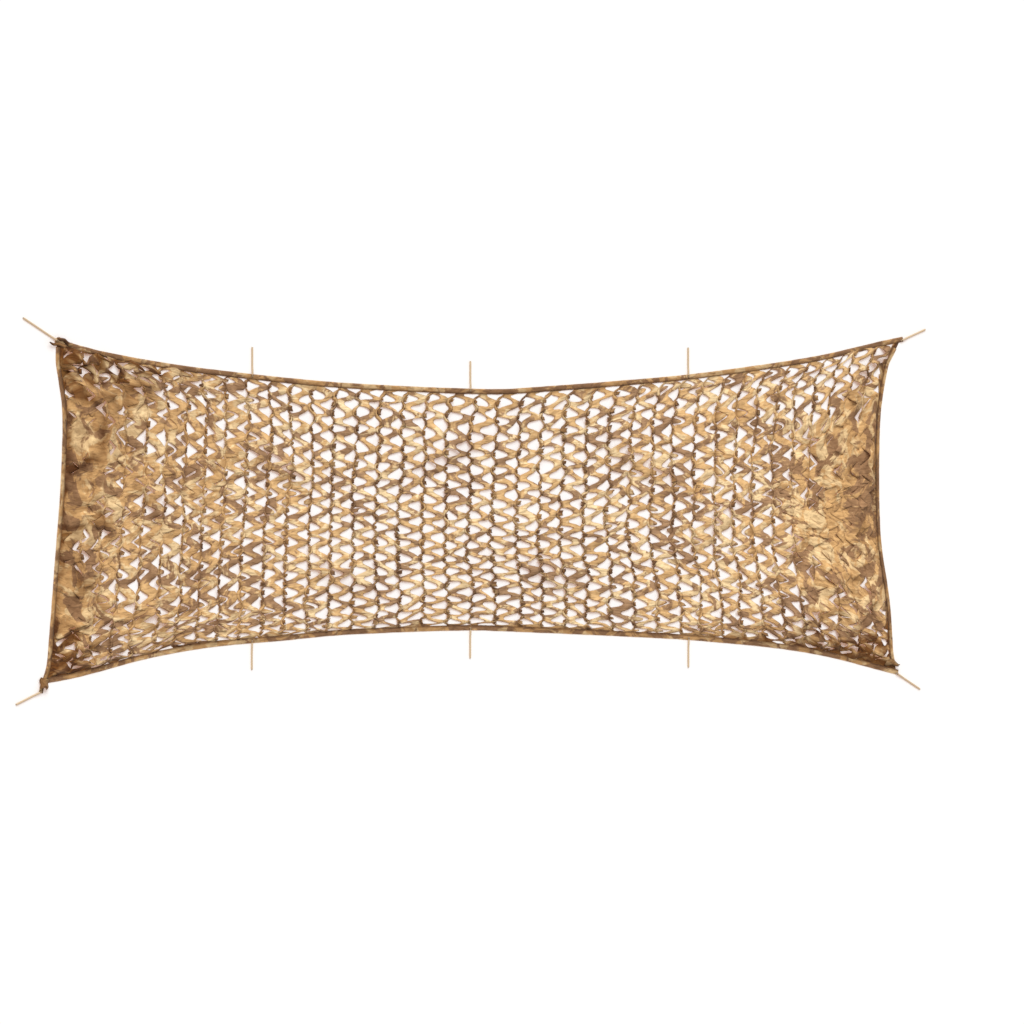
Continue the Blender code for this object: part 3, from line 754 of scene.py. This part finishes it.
def add_stem(columns, stem, wave, opened, left, right):
    """Adds a stem, which is roped where leaves are twisted into it."""
    lines = columns.lines
    here = np.full(len(lines), float(stem))
    mean, change = STEM_KNOTS
    knots = np.clip(mean + change * lattice_noise(here, lines, KNOT_NOISE), 0.0, 1.0)
    twisted = smooth(1.6 * opened) * knots
    half = STEM_HALF + STEM_SWELL * twisted
    rope = STEM_ROPE * half * REST_SPACING
    tilt = STEM_TILT * opened * lattice_noise(here, lines, TILT_NOISE)
    lift = STEM_LIFT * opened
    shade = STEM_SHADES[0] + STEM_SHADES[1] * opened
    middle_line = lines + (left.shift + right.shift) / 2
    columns.add(stem - half + wave, lines + left.shift, lift + tilt, shade)
    columns.add(stem + wave, middle_line, rope + lift, 0.7 * shade * (1 - 0.6 * twisted))
    columns.add(stem + half + wave, lines + right.shift, lift - tilt, shade)


def sheet_columns(cuts, lines):
    columns = Columns(lines)
    columns.add(-EDGE)
    columns.add(-EDGE / 2)
    opened = [openness(np.full(len(lines), float(stem)), lines) for stem in range(STEMS)]
    waves = [stem_wave(lines, stem_opened) for stem_opened in opened]
    for stem in range(STEMS):
        right = HoleSide(cuts, 0, stem, lines)
        add_stem(columns, stem, waves[stem], opened[stem], HoleSide(cuts, 1, stem, lines), right)
        if stem < STEMS - 1:
            across = HoleSide(cuts, 1, stem + 1, lines)
            add_ribbon(columns, stem, right, across, waves[stem], waves[stem + 1])
    columns.add(STEMS - 1 + EDGE / 2)
    columns.add(STEMS - 1 + EDGE)
    return columns


# ---- meshes
def quad_grid(index, wrap=False):
    """Quads between neighbouring points of a grid of point numbers."""
    nearby = np.roll(index, -1, axis=1) if wrap else index[:, 1:]
    index = index if wrap else index[:, :-1]
    return np.stack([index[:-1], index[1:], nearby[1:], nearby[:-1]], axis=-1).reshape(-1, 4)


def build_mesh(name, points, faces, material, flat=None, **layers):
    """A smooth mesh, with its print map and the shader's values at each point."""
    mesh = bpy.data.meshes.new(name)
    mesh.from_pydata(points.tolist(), [], faces)
    mesh.polygons.foreach_set("use_smooth", np.ones(len(faces), bool))
    if flat is not None:
        corners = np.empty(len(mesh.loops), np.int32)
        mesh.loops.foreach_get("vertex_index", corners)
        layer = mesh.uv_layers.new(name=PRINT_MAP)
        layer.uv.foreach_set("vector", flat[corners].astype(np.float32).ravel())
    for layer_name, values in layers.items():
        layer = mesh.attributes.new(layer_name, "FLOAT", "POINT")
        values = np.broadcast_to(values, len(points)).astype(np.float32)
        layer.data.foreach_set("value", np.ascontiguousarray(values))
    mesh.materials.append(material)
    piece = bpy.data.objects.new(name, mesh)
    bpy.context.scene.collection.objects.link(piece)
    return piece


def thicken(piece, thickness):
    solid = piece.modifiers.new("thickness", "SOLIDIFY")
    solid.thickness = thickness
    solid.offset = 0.0
    return piece


def thread_mesh(name, paths, sides, radius, material):
    """Short runs of thread in one mesh: paths are (thread, station, xyz), sides lie across them."""
    along = unit(np.gradient(paths, axis=1))
    sides = np.broadcast_to(sides[:, None, :], paths.shape)
    above = np.cross(sides, along)
    ring = np.stack([paths + radius * way for way in (sides, above, -sides, -above)], axis=2)
    threads, stations = paths.shape[:2]
    index = np.arange(stations * 4).reshape(stations, 4)
    one = np.concatenate([quad_grid(index, wrap=True), index[:1, ::-1], index[-1:]])
    faces = (one[None] + np.arange(threads)[:, None, None] * stations * 4).reshape(-1, 4)
    return build_mesh(name, ring.reshape(-1, 3), faces.tolist(), material)


# ---- the net cloth
def make_sheet(cuts, material):
    """The one leaf-cut sheet: stems and the zigzag ribbons between them."""
    columns = sheet_columns(cuts, mesh_lines())
    s, t, lift, shade = stacked(columns.s, columns.t, columns.lift, columns.shade)
    index = np.arange(s.size).reshape(s.shape)
    gaps = set()  # columns with no cloth before them
    for place, (way, where) in columns.merged.items():
        index[where, place] = index[where, place + way]
        gaps.add(place if way < 0 else place + 1)
    joined = [place for place in range(1, s.shape[1]) if place not in gaps]
    bands = [quad_grid(index[:, place - 1:place + 1])[:, ::-1] for place in joined]
    used, faces = np.unique(np.concatenate(bands), return_inverse=True)
    points, shaded = ground(s, t, lift)
    points[..., 2] = np.clip(points[..., 2], GROUND_Z, TOP_Z)
    flat = np.stack([s * REST_SPACING, t * REST_PITCH], axis=-1)
    shade = shade * CUT_SHADE
    shade = np.clip(shade + shaded * (1 - shade), 0.0, 1.0)
    crumple = 1 - openness(s, t)
    piece = build_mesh("net_cloth_sheet", points.reshape(-1, 3)[used], faces.reshape(-1, 4).tolist(),
                       material, flat.reshape(-1, 2)[used], shade=shade.ravel()[used],
                       crumple=crumple.ravel()[used])
    return thicken(piece, CLOTH_THICKNESS)


def curl_profile(start, length, angle, lead):
    """How far along and up each step of a curling leaf is, as parts of its length."""
    along = [np.zeros_like(start)]
    up = [np.zeros_like(start)]
    count = LEAF_STEPS * CURL_STEPS
    for step in range(count):
        turned = lead + angle * smooth(((step + 0.5) / count - start) / length)
        along.append(along[-1] + np.cos(turned) / count)
        up.append(up[-1] + np.sin(turned) / count)
    return along[::CURL_STEPS], up[::CURL_STEPS]


def leaf_forms(state, chance):
    """How leaves bend, and their size beside their holes, all a little uneven."""
    states, *columns = np.array(LEAF_FORMS).T
    start, length, angle, size, wide = (np.interp(state, states, column) for column in columns)
    size, start, length, angle = (
        value * chance.uniform(*spread, len(state))
        for value, spread in zip((size, start, length, angle), LEAF_SPREADS))
    return start, length, np.radians(angle), size, wide


def drawn_in(rise, base):
    """A rise above a base, made smaller where it would come near the highest place allowed."""
    room = np.maximum(TOP_Z - base, 0.01)
    return room * (1 - np.exp(-rise / room)) * LEAF_RISE


class Leaves:
    """The leaves on one side of the stems, and how each of them lies."""

    def __init__(self, cuts, side, seed):
        chance = np.random.default_rng(seed)
        kept = cuts.kept[side].copy()
        if side == 1:
            kept[:, (0, ROWS)] = False  # the half cuts that the bindings meet have none
        self.stem, row = np.nonzero(kept)
        self.way = 1.0 - 2.0 * side
        self.middle, self.opened, state, self.reach, squeeze, bow, self.lean = (
            table[side, self.stem, row] for table in (
                cuts.middle, cuts.opened, cuts.state, cuts.reach, cuts.squeeze, cuts.bow, cuts.lean))
        self.start, self.length, self.angle, size, wide = leaf_forms(state, chance)
        self.lead = np.radians(chance.uniform(0, LEAF_LEAD, len(state)))
        rolled = release(state, LEAF_ROLLED)
        skew = chance.uniform(-LEAF_SKEW, LEAF_SKEW, len(state))
        self.skew = skew * (1 - ROLLED_EVEN * rolled)
        self.half = HOLE_HALF * squeeze * wide
        self.taper = (1 - ROLLED_BLUNT * rolled) / bow
        self.folded = release(state, LEAF_FOLDED)
        hinge, _ = ground(self.stem + stem_wave(self.middle, self.opened), self.middle)
        tip, _ = ground(self.stem + self.way * self.reach, self.middle + self.lean)
        run = (tip - hinge)[:, :2]
        self.long = np.linalg.norm(run, axis=1) * size
        self.run = unit(run)

    def profile(self, q):
        """How far along and up each step is, at q across the leaves."""
        return curl_profile(self.start, self.length, self.angle * (1 + self.skew * q), self.lead)

    def at(self, p, q, along, up):
        """The points at p along and q across the leaves, where they are in flat cloth, and shades."""
        width = self.half * (1 - LEAF_NARROWING * p) ** self.taper
        row = self.middle + q * width + self.lean * p
        column = self.stem + stem_wave(row, self.opened) + self.way * LEAF_ROOT * STEM_HALF
        root, shaded = ground(column, row)
        rise = up * self.long + CLOTH_THICKNESS + LEAF_CROWN * (1 - q * q) * p
        points = np.column_stack([
            root[:, :2] + self.run * (along * self.long)[:, None],
            np.clip(root[:, 2] + drawn_in(rise, root[:, 2]), GROUND_Z, TOP_Z)])
        flat = np.column_stack([
            (self.stem + self.way * (STEM_HALF + self.reach * p)) * REST_SPACING, row * REST_PITCH])
        return points, flat, self.shade(p, q, shaded)

    def shade(self, p, q, shaded):
        """How dark they are: where they curl over, at the rim, at the hinge, and as they lie."""
        flat_shade, curl_shade, curl, most = LEAF_SHADES
        turned = np.degrees(self.angle * smooth((p - self.start) / self.length))
        curled = np.clip(flat_shade + curl_shade * turned / curl, 0.0, most)
        rim = np.full(len(turned), RIM_SHADE * np.maximum(abs(q), p) ** 5)
        hinged = HINGE_SHADE * self.folded * (1 - p) ** 1.5
        return np.maximum.reduce([curled, rim, hinged, shaded])


def make_leaves(name, cuts, side, seed, material):
    """The leaves on one side of the stems: flat, bent up, folded back or rolled."""
    leaves = Leaves(cuts, side, seed)
    rows = []
    for split in range(LEAF_SPLITS + 1):
        q = 2 * split / LEAF_SPLITS - 1  # from one side of a leaf to the other
        for step, (along, up) in enumerate(zip(*leaves.profile(q))):
            p = step / LEAF_STEPS  # from its root to its tip
            rows.append(leaves.at(p, q, along, up))
    points, flats, shades = stacked(*zip(*rows))
    count, each = shades.shape
    quads = quad_grid(np.arange(each).reshape(LEAF_SPLITS + 1, LEAF_STEPS + 1))
    quads = quads if side == 1 else quads[:, ::-1]
    faces = (quads[None] + np.arange(count)[:, None, None] * each).reshape(-1, 4)
    crumple = np.repeat(1 - leaves.opened, each)
    piece = build_mesh(name, points.reshape(-1, 3), faces.tolist(), material, flats.reshape(-1, 2),
                       shade=shades.ravel(), crumple=crumple)
    return thicken(piece, CLOTH_THICKNESS)


# ---- bindings
class Edging:
    """A binding's route: stations, inward directions, distances along and its seam's puckers."""

    def __init__(self, name, edge, start, end, count):
        fractions = np.linspace(start, end, count + 1)
        before = edge_points(edge, np.maximum(fractions - EDGE_PROBE, 0.0))
        after = edge_points(edge, np.minimum(fractions + EDGE_PROBE, 1.0))
        tangent = unit(after - before)
        self.inward = np.column_stack([-tangent[:, 1], tangent[:, 0]]) * EDGES[edge][2]
        self.points = edge_points(edge, fractions)
        if edge == "left":
            tail = np.arange(TAIL_LENGTH, 0, -TAIL_STEP)
            first = self.points[0] + np.multiply.outer(tail, TAIL_WAY)
            self.points = np.concatenate([first, self.points])
            self.inward = np.concatenate([np.repeat(self.inward[:1], len(tail), axis=0), self.inward])
        steps = np.linalg.norm(np.diff(self.points, axis=0), axis=1)
        self.run = np.concatenate([[0], np.cumsum(steps)])
        self.seed = len(name) * 1.7
        self.pucker = sum(self.noise(*row) for row in PUCKER_NOISES)
        self.wander = self.noise(*WANDER_NOISE)

    def noise(self, share, size, seed):
        return share * noise_field(self.run, self.run * 0, size, self.seed + seed)

    def at(self, run):
        """The point, inward direction and pucker at distances along."""
        point, inward = (
            np.column_stack([np.interp(run, self.run, values[:, axis]) for axis in (0, 1)])
            for values in (self.points, self.inward))
        return point, inward, np.interp(run, self.run, self.pucker)


def binding_lift(depth, width, pucker):
    """How far a strip's upper face bulges above its fold, less along its seam."""
    into = depth / width
    seam = math.exp(-((depth - (width - SEAM_INSET)) / 0.005) ** 2)
    return PUCKER * (1 + pucker) * into * (1 - 0.8 * seam) + PUCKER * math.sin(math.pi * into)


def make_binding(name, edging, width, material):
    """A strip folded over the cloth's edge, lightly puckered by its seam."""
    low = BINDING_THICKNESS / 2
    high = BINDING_HEIGHT - BINDING_THICKNESS / 2
    middle = (low + high) / 2
    bulge = (high - low) / 2
    section = [(width, low), (width * 0.5, low), (bulge, low), (low + 0.0006, middle - bulge * 0.6),
               (low, middle), (low + 0.0006, middle + bulge * 0.6), (bulge, high), (width * 0.3, high),
               (width * 0.6, high), (width - SEAM_INSET, high), (width, high)]
    flat_across = np.cumsum([0] + [math.dist(a, b) for a, b in zip(section, section[1:])])
    rows, flats, shades = [], [], []
    for (depth, z), across in zip(section, flat_across):
        upper = z > middle
        into = depth / width
        deep = depth + edging.wander * (1 - into) + PUCKER * upper * edging.pucker * into
        lift = binding_lift(depth, width, edging.pucker) if upper and depth > bulge else 0.0
        place = edging.points + edging.inward * np.reshape(deep, (-1, 1))
        rows.append(np.column_stack([place, np.broadcast_to(z + lift, len(place))]))
        flats.append(np.column_stack([edging.run + edging.seed, np.full(len(place), across)]))
        shades.append(np.full(len(place), line_value(BINDING_SHADES, into)))
    grid, flats, shades = stacked(rows, flats, shades)
    faces = quad_grid(np.arange(grid.shape[0] * grid.shape[1]).reshape(grid.shape[:2]))
    piece = build_mesh(name + "_strip", grid.reshape(-1, 3), faces.tolist(), material,
                       flats.reshape(-1, 2), shade=shades.ravel(), crumple=0.3)
    return thicken(piece, BINDING_THICKNESS)


def make_stitches(name, edging, width, material):
    """The lockstitched seam that holds a binding on."""
    starts = np.arange(0.004, edging.run[-1] - STITCH_LENGTH, STITCH_PITCH)
    depth = width - SEAM_INSET
    paths = []
    for part, rise in STITCH_FORM:
        point, inward, pucker = edging.at(starts + STITCH_LENGTH * part)
        top = BINDING_HEIGHT + binding_lift(depth, width, pucker)
        deep = depth + PUCKER * pucker * depth / width
        paths.append(np.column_stack([point + inward * deep[:, None], top + rise]))
    across = np.column_stack([unit(inward), np.zeros(len(starts))])
    return thread_mesh(name + "_stitches", np.stack(paths, axis=1), across, THREAD_RADIUS, material)


def make_flap(number, start, direction, length, width, tip_width, curl, material):
    """A binding's loose end, which curls up and narrows to a ragged tip."""
    way, side = level_ways(direction)
    radius = length / math.radians(curl)
    points, flats, shades = [], [], []
    for step in range(FLAP_STEPS + 1):
        p = step / FLAP_STEPS  # from its start to its tip
        bend = math.radians(curl) * p
        forward = radius * math.sin(bend)
        height = BINDING_HEIGHT + FLAP_RISE + radius * (1 - math.cos(bend))
        sway = FLAP_SWAY * math.sin(9 * p + number)
        for split in range(FLAP_SPLITS + 1):
            q = 2 * split / FLAP_SPLITS - 1  # from one side to the other
            spread = q * between(width, tip_width, p) / 2 + sway
            ragged = FLAP_RAGGED * math.sin(3 * q + 2 * number) * p
            crown = FLAP_CROWN * (1 - q * q) * (1 - 0.5 * p)
            place = np.array(start) + way[:2] * (forward + ragged) + side[:2] * spread
            points.append((*place, min(height + crown, TOP_Z)))
            flats.append((p * length + number, q * width / 2))
            shades.append(between(FLAP_SHADE, 1.0, max(abs(q), p) ** 2))
    faces = quad_grid(np.arange(len(points)).reshape(FLAP_STEPS + 1, FLAP_SPLITS + 1))
    piece = build_mesh(f"binding_flap_{number}", np.array(points), faces.tolist(), material,
                       np.array(flats), shade=np.array(shades), crumple=1.0)
    return thicken(piece, BINDING_THICKNESS)


# ---- ties
def tie_height(along):
    """The height of a tie's middle: over the binding at its sewn end, then down on the ground."""
    low = TIE_DIAMETER / 2
    high = BINDING_HEIGHT + TIE_GAP + TIE_DIAMETER / 2
    return between(high, low, smooth((along - TIE_STEP) / TIE_DROP))


def braid_relief(turns, climb):
    """Where strands that run both ways around a cord stand out, from -1 to 1."""
    one_way = np.cos(BRAID_STRANDS * turns[None, :] + 2 * climb[:, None])
    other_way = np.cos(BRAID_STRANDS * turns[None, :] - 2 * climb[:, None] + math.pi / 2)
    return np.maximum(one_way, other_way)


def make_tie(name, start, direction, free_length, material):
    """A braided cord from its sewn end on the binding to its free end."""
    way, side = level_ways(direction)
    steps = round((free_length + TIE_OVERLAP) / BRAID_STEP)
    along = np.linspace(-TIE_OVERLAP, free_length, steps + 1)
    centre = np.column_stack([
        np.array(start) + np.multiply.outer(along, way[:2]), tie_height(along)])
    up = np.cross(unit(np.gradient(centre, axis=0)), side)
    turns = np.arange(BRAID_SIDES) * 2 * math.pi / BRAID_SIDES
    braid = braid_relief(turns, 2 * math.pi * along / BRAID_PITCH)
    near_end = np.minimum(along + TIE_OVERLAP, free_length - along)
    sealed = 1 - smooth(near_end / TIE_SEALED)
    rounded = between(TIE_END_SIZE, 1.0, np.sqrt(np.clip(near_end / TIE_ROUNDING, 0, 1)))
    radius = TIE_DIAMETER / 2 * (1 - BRAID_DEPTH + BRAID_DEPTH * braid * (1 - sealed[:, None]))
    radius = radius * rounded[:, None]
    around = np.cos(turns)[None, :, None] * side + np.sin(turns)[None, :, None] * up[:, None, :]
    points = (centre[:, None, :] + radius[..., None] * around).reshape(-1, 3)
    points[:, 2] = np.maximum(points[:, 2], TIE_LOWEST)
    index = np.arange(len(points)).reshape(-1, BRAID_SIDES)
    faces = quad_grid(index, wrap=True)[:, ::-1].tolist()
    faces += [index[0, ::-1].tolist(), index[-1].tolist()]
    # the cord's shade layer marks its heat-sealed ends, which are darker in their own colour, not
    # shaded
    piece = build_mesh(name + "_cord", points, faces, material, shade=np.repeat(sealed, BRAID_SIDES))
    return piece, centre


def make_tack(name, start, direction, material):
    """The row of tight threads that sews a tie down on its binding."""
    way, side = level_ways(direction)
    turns = np.linspace(-TACK_TUCK, math.pi + TACK_TUCK, 11)
    radius = TIE_DIAMETER / 2 + THREAD_RADIUS * 0.6
    arc = np.multiply.outer(np.cos(turns), side) + np.multiply.outer(np.sin(turns), (0.0, 0.0, 1.0))
    places = TACK_START - TIE_OVERLAP + np.arange(TACK_BARS) * TACK_PITCH
    root = np.array((*start, tie_height(0.0)))
    paths = root + places[:, None, None] * way + arc[None] * radius
    slant = np.linspace(-0.5, 0.5, len(turns))[None, :, None] * TACK_PITCH * way
    ways = np.broadcast_to(way, (TACK_BARS, 3))
    return thread_mesh(name + "_tack", paths + slant, ways, THREAD_RADIUS, material)


# ---- materials
def new_material(name, inputs):
    """A material whose shader has those fixed inputs."""
    material = bpy.data.materials.new(name)
    material.use_nodes = True
    tree = material.node_tree
    shader = tree.nodes["Principled BSDF"]
    for key, value in inputs.items():
        shader.inputs[key].default_value = value
    return material, tree, shader


def feed(tree, socket, value):
    """Gives a socket a fixed value or another socket's."""
    if isinstance(value, bpy.types.NodeSocket):
        tree.links.new(value, socket)
    else:
        socket.default_value = value


def add_node(tree, kind, inputs, **settings):
    """Adds a node with its settings, and feeds its named or numbered inputs."""
    node = tree.nodes.new(kind)
    for key, value in settings.items():
        setattr(node, key, value)
    for key, value in inputs.items():
        feed(tree, node.inputs[key], value)
    return node


def color_mix(tree, factor, first, second, blend="MIX"):
    inputs = {0: factor, 6: first, 7: second}
    return add_node(tree, "ShaderNodeMix", inputs, data_type="RGBA", blend_type=blend).outputs[2]


def scaled(tree, value, low, high):
    """A value from 0 to 1 brought to the range from low to high."""
    inputs = {"Value": value, "To Min": low, "To Max": high}
    return add_node(tree, "ShaderNodeMapRange", inputs).outputs["Result"]


def ramp(tree, value, low, high):
    """A smooth rise from 0 at low to 1 at high."""
    inputs = {"Value": value, "From Min": low, "From Max": high}
    node = add_node(tree, "ShaderNodeMapRange", inputs, interpolation_type="SMOOTHSTEP")
    return node.outputs["Result"]


def pattern_noise(tree, place, name):
    scale, detail, offset, distortion, finer, roughness = PATTERNS[name]
    inputs = {"Vector": place, "Location": offset, "Scale": (1.0, finer, 1.0)}
    moved = add_node(tree, "ShaderNodeMapping", inputs).outputs["Vector"]
    inputs = {"Vector": moved, "Scale": scale, "Detail": detail, "Distortion": distortion,
              "Roughness": roughness}
    return add_node(tree, "ShaderNodeTexNoise", inputs).outputs["Fac"]


def attribute(tree, name):
    return add_node(tree, "ShaderNodeAttribute", {}, attribute_name=name).outputs["Fac"]


def add_bump(tree, shader, height, distance, strength, after=None):
    """Adds a bump of that depth to a shader, on top of another bump."""
    inputs = {"Height": height, "Distance": distance, "Strength": strength}
    if after:
        inputs["Normal"] = after
    bump = add_node(tree, "ShaderNodeBump", inputs)
    feed(tree, shader.inputs["Normal"], bump.outputs["Normal"])
    return bump.outputs["Normal"]


def print_color(tree, place, brown_from):
    """Three desert colours in soft-edged patches, faded here and there."""
    sand = ramp(tree, pattern_noise(tree, place, "sand"), *SAND_RANGE)
    brown = ramp(tree, pattern_noise(tree, place, "brown"), brown_from, brown_from + BROWN_RUN)
    color = color_mix(tree, brown, color_mix(tree, sand, OCHRE, SAND), BROWN)
    fading = ramp(tree, pattern_noise(tree, place, "fading"), *FADING_RANGE)
    return color_mix(tree, FADING, color, color_mix(tree, fading, FADED, WHITE), "MULTIPLY")


def cloth_material(name, shade_strength, open_tone, closed_tone, brown_from):
    """Woven printed cloth, with painted shade from its crease and streak noises and from its shade
    layer along its cuts, folds and bunches, and a tone that follows how open its cuts are.
    """
    material, tree, shader = new_material(name, {
        "Roughness": 0.82, "Sheen Weight": 0.06, "Sheen Roughness": 0.5, "Specular IOR Level": 0.16})
    place = add_node(tree, "ShaderNodeUVMap", {}, uv_map=PRINT_MAP).outputs["UV"]
    crumple = attribute(tree, CRUMPLE)
    creases, streaks, weave = (
        pattern_noise(tree, place, pattern) for pattern in ("creases", "streaks", "weave"))
    color = print_color(tree, place, brown_from)
    color = color_mix(tree, 1.0, color, color_mix(tree, crumple, open_tone, closed_tone), "MULTIPLY")
    dark = color_mix(tree, 1.0, color, SHADOW_TINT, "MULTIPLY")
    for shade, strength in ((ramp(tree, creases, *CREASE_RANGE), CREASE_SHADE),
                            (ramp(tree, streaks, *STREAK_RANGE), STREAK_SHADE),
                            (attribute(tree, SHADE_AND_SEAL), shade_strength)):
        color = color_mix(tree, scaled(tree, shade, 0.0, strength), color, dark)
    feed(tree, shader.inputs["Base Color"], color)
    soft = add_bump(tree, shader, creases, CREASE_BUMP, scaled(tree, crumple, 0.35, 1.0))
    drawn = add_bump(tree, shader, streaks, STREAK_BUMP, 0.8, soft)
    add_bump(tree, shader, weave, WEAVE_BUMP, 0.25, drawn)
    return material


def cord_material():
    """Tan braided cord with heat-sealed ends."""
    material, tree, shader = new_material("tie_cord_braid", {"Roughness": 0.7})
    place = add_node(tree, "ShaderNodeTexCoord", {}).outputs["Object"]
    fibres = pattern_noise(tree, place, "fibres")
    color = color_mix(tree, fibres, CORD_DARK, CORD_LIGHT)
    # darker at the heat-sealed ends marked in the shade layer: the cord's own colour there, not shade
    color = color_mix(tree, attribute(tree, SHADE_AND_SEAL), color, CORD_END)
    feed(tree, shader.inputs["Base Color"], color)
    add_bump(tree, shader, fibres, FIBRE_BUMP, 0.4)
    return material


# ---- stage
def make_stage():
    """A white floor under the net."""
    bpy.ops.mesh.primitive_plane_add(size=FLOOR_SIZE)
    floor = bpy.context.object
    floor.name = "floor"
    floor.location.z = FLOOR_Z
    white, _, _ = new_material("floor_white", {
        "Roughness": 0.9, "Base Color": FLOOR_COLOR, "Specular IOR Level": 0.0,
        "Emission Color": FLOOR_GLOW, "Emission Strength": FLOOR_GLOW_STRENGTH})
    floor.data.materials.append(white)


def make_light():
    """Soft daylight with the sun above the net's upper edge."""
    world = bpy.data.worlds.new("studio")
    bpy.context.scene.world = world
    world.use_nodes = True
    sky = world.node_tree.nodes["Background"]
    sky.inputs["Color"].default_value = WHITE
    sky.inputs["Strength"].default_value = SKY_STRENGTH
    key = bpy.data.lights.new("key", "SUN")
    key.energy = SUN_STRENGTH
    key.angle = SUN_SIZE
    lamp = bpy.data.objects.new("key", key)
    lamp.rotation_euler = SUN_WAY.to_track_quat("-Z", "Y").to_euler()
    bpy.context.scene.collection.objects.link(lamp)
    bpy.context.scene.view_settings.view_transform = "Standard"


def make_camera():
    """Looks down at the net from high above its left half, with the net's upper edge at the top."""
    back = Vector((-math.sin(CAMERA_YAW), 0.0, math.cos(CAMERA_YAW)))
    up = Vector((0.0, 1.0, 0.0))
    right = up.cross(back)
    camera = bpy.data.cameras.new("camera")
    camera.lens = CAMERA_LENS
    camera.sensor_width = CAMERA_SENSOR
    camera.clip_start = 1.0
    camera.clip_end = 1000.0
    holder = bpy.data.objects.new("camera", camera)
    holder.location = CAMERA_TARGET + back * CAMERA_DISTANCE + right * CAMERA_RIGHT + up * CAMERA_UP
    holder.rotation_euler = Matrix((right, up, back)).transposed().to_euler()
    bpy.context.scene.collection.objects.link(holder)
    bpy.context.scene.camera = holder


# ---- assembly
def ride(piece, node=None):
    """Puts a piece on the net's one body, in place of a node, which it hides."""
    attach(piece, "root")
    if node:
        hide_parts(node)


def add_ties(thread):
    cord_skin = cord_material()
    ties = [(name, edge_points(edge, np.array(fraction)), 90.0 if edge == "top" else -90.0, length)
            for name, edge, fraction, length in EDGE_TIES]
    for name, start, direction, free_length in (*ties, *CORNER_TIES):
        tie, path = make_tie(name, start, direction, free_length, cord_skin)
        tack = make_tack(name, start, direction, thread)
        ride(tie, name)
        ride(tack)


def add_net_cloth():
    """The leaf-cut sheet and the leaves on both sides of its stems, all of one printed cloth; the
    leaves are pieces of their own. The sheet's flat length is from before its cuts open, and its
    area leaves out the leaves.
    """
    cloth = cloth_material("net_cloth_print", 1.0, OPEN_TONE, CLOSED_TONE, NET_BROWN)
    cuts = Cuts(17)
    sheet = make_sheet(cuts, cloth)
    leaves = [make_leaves("net_cloth_leaves_right", cuts, 0, 29, cloth),
              make_leaves("net_cloth_leaves_left", cuts, 1, 31, cloth)]
    for piece in (sheet, *leaves):
        ride(piece, "net_cloth")


def add_bindings(thread):
    strip_cloth = cloth_material(
        "binding_cloth_print", 0.85, BINDING_TONE, BINDING_TONE, BINDING_BROWN)
    for name, edge, width, start, end, count in BINDINGS:
        edging = Edging(name, edge, start, end, count)
        strip = make_binding(name, edging, width, strip_cloth)
        flaps = [(number, *row[1:]) for number, row in enumerate(FLAPS) if row[0] == name]
        trims = [make_stitches(name, edging, width, thread)]
        trims += [make_flap(*flap, strip_cloth) for flap in flaps]
        ride(strip, name)
        for trim in trims:
            ride(trim)


def main():
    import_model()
    make_camera()
    make_light()
    make_stage()
    thread, _, _ = new_material("sewing_thread", {"Roughness": 0.6, "Base Color": THREAD})
    add_ties(thread)
    add_net_cloth()
    add_bindings(thread)


main()
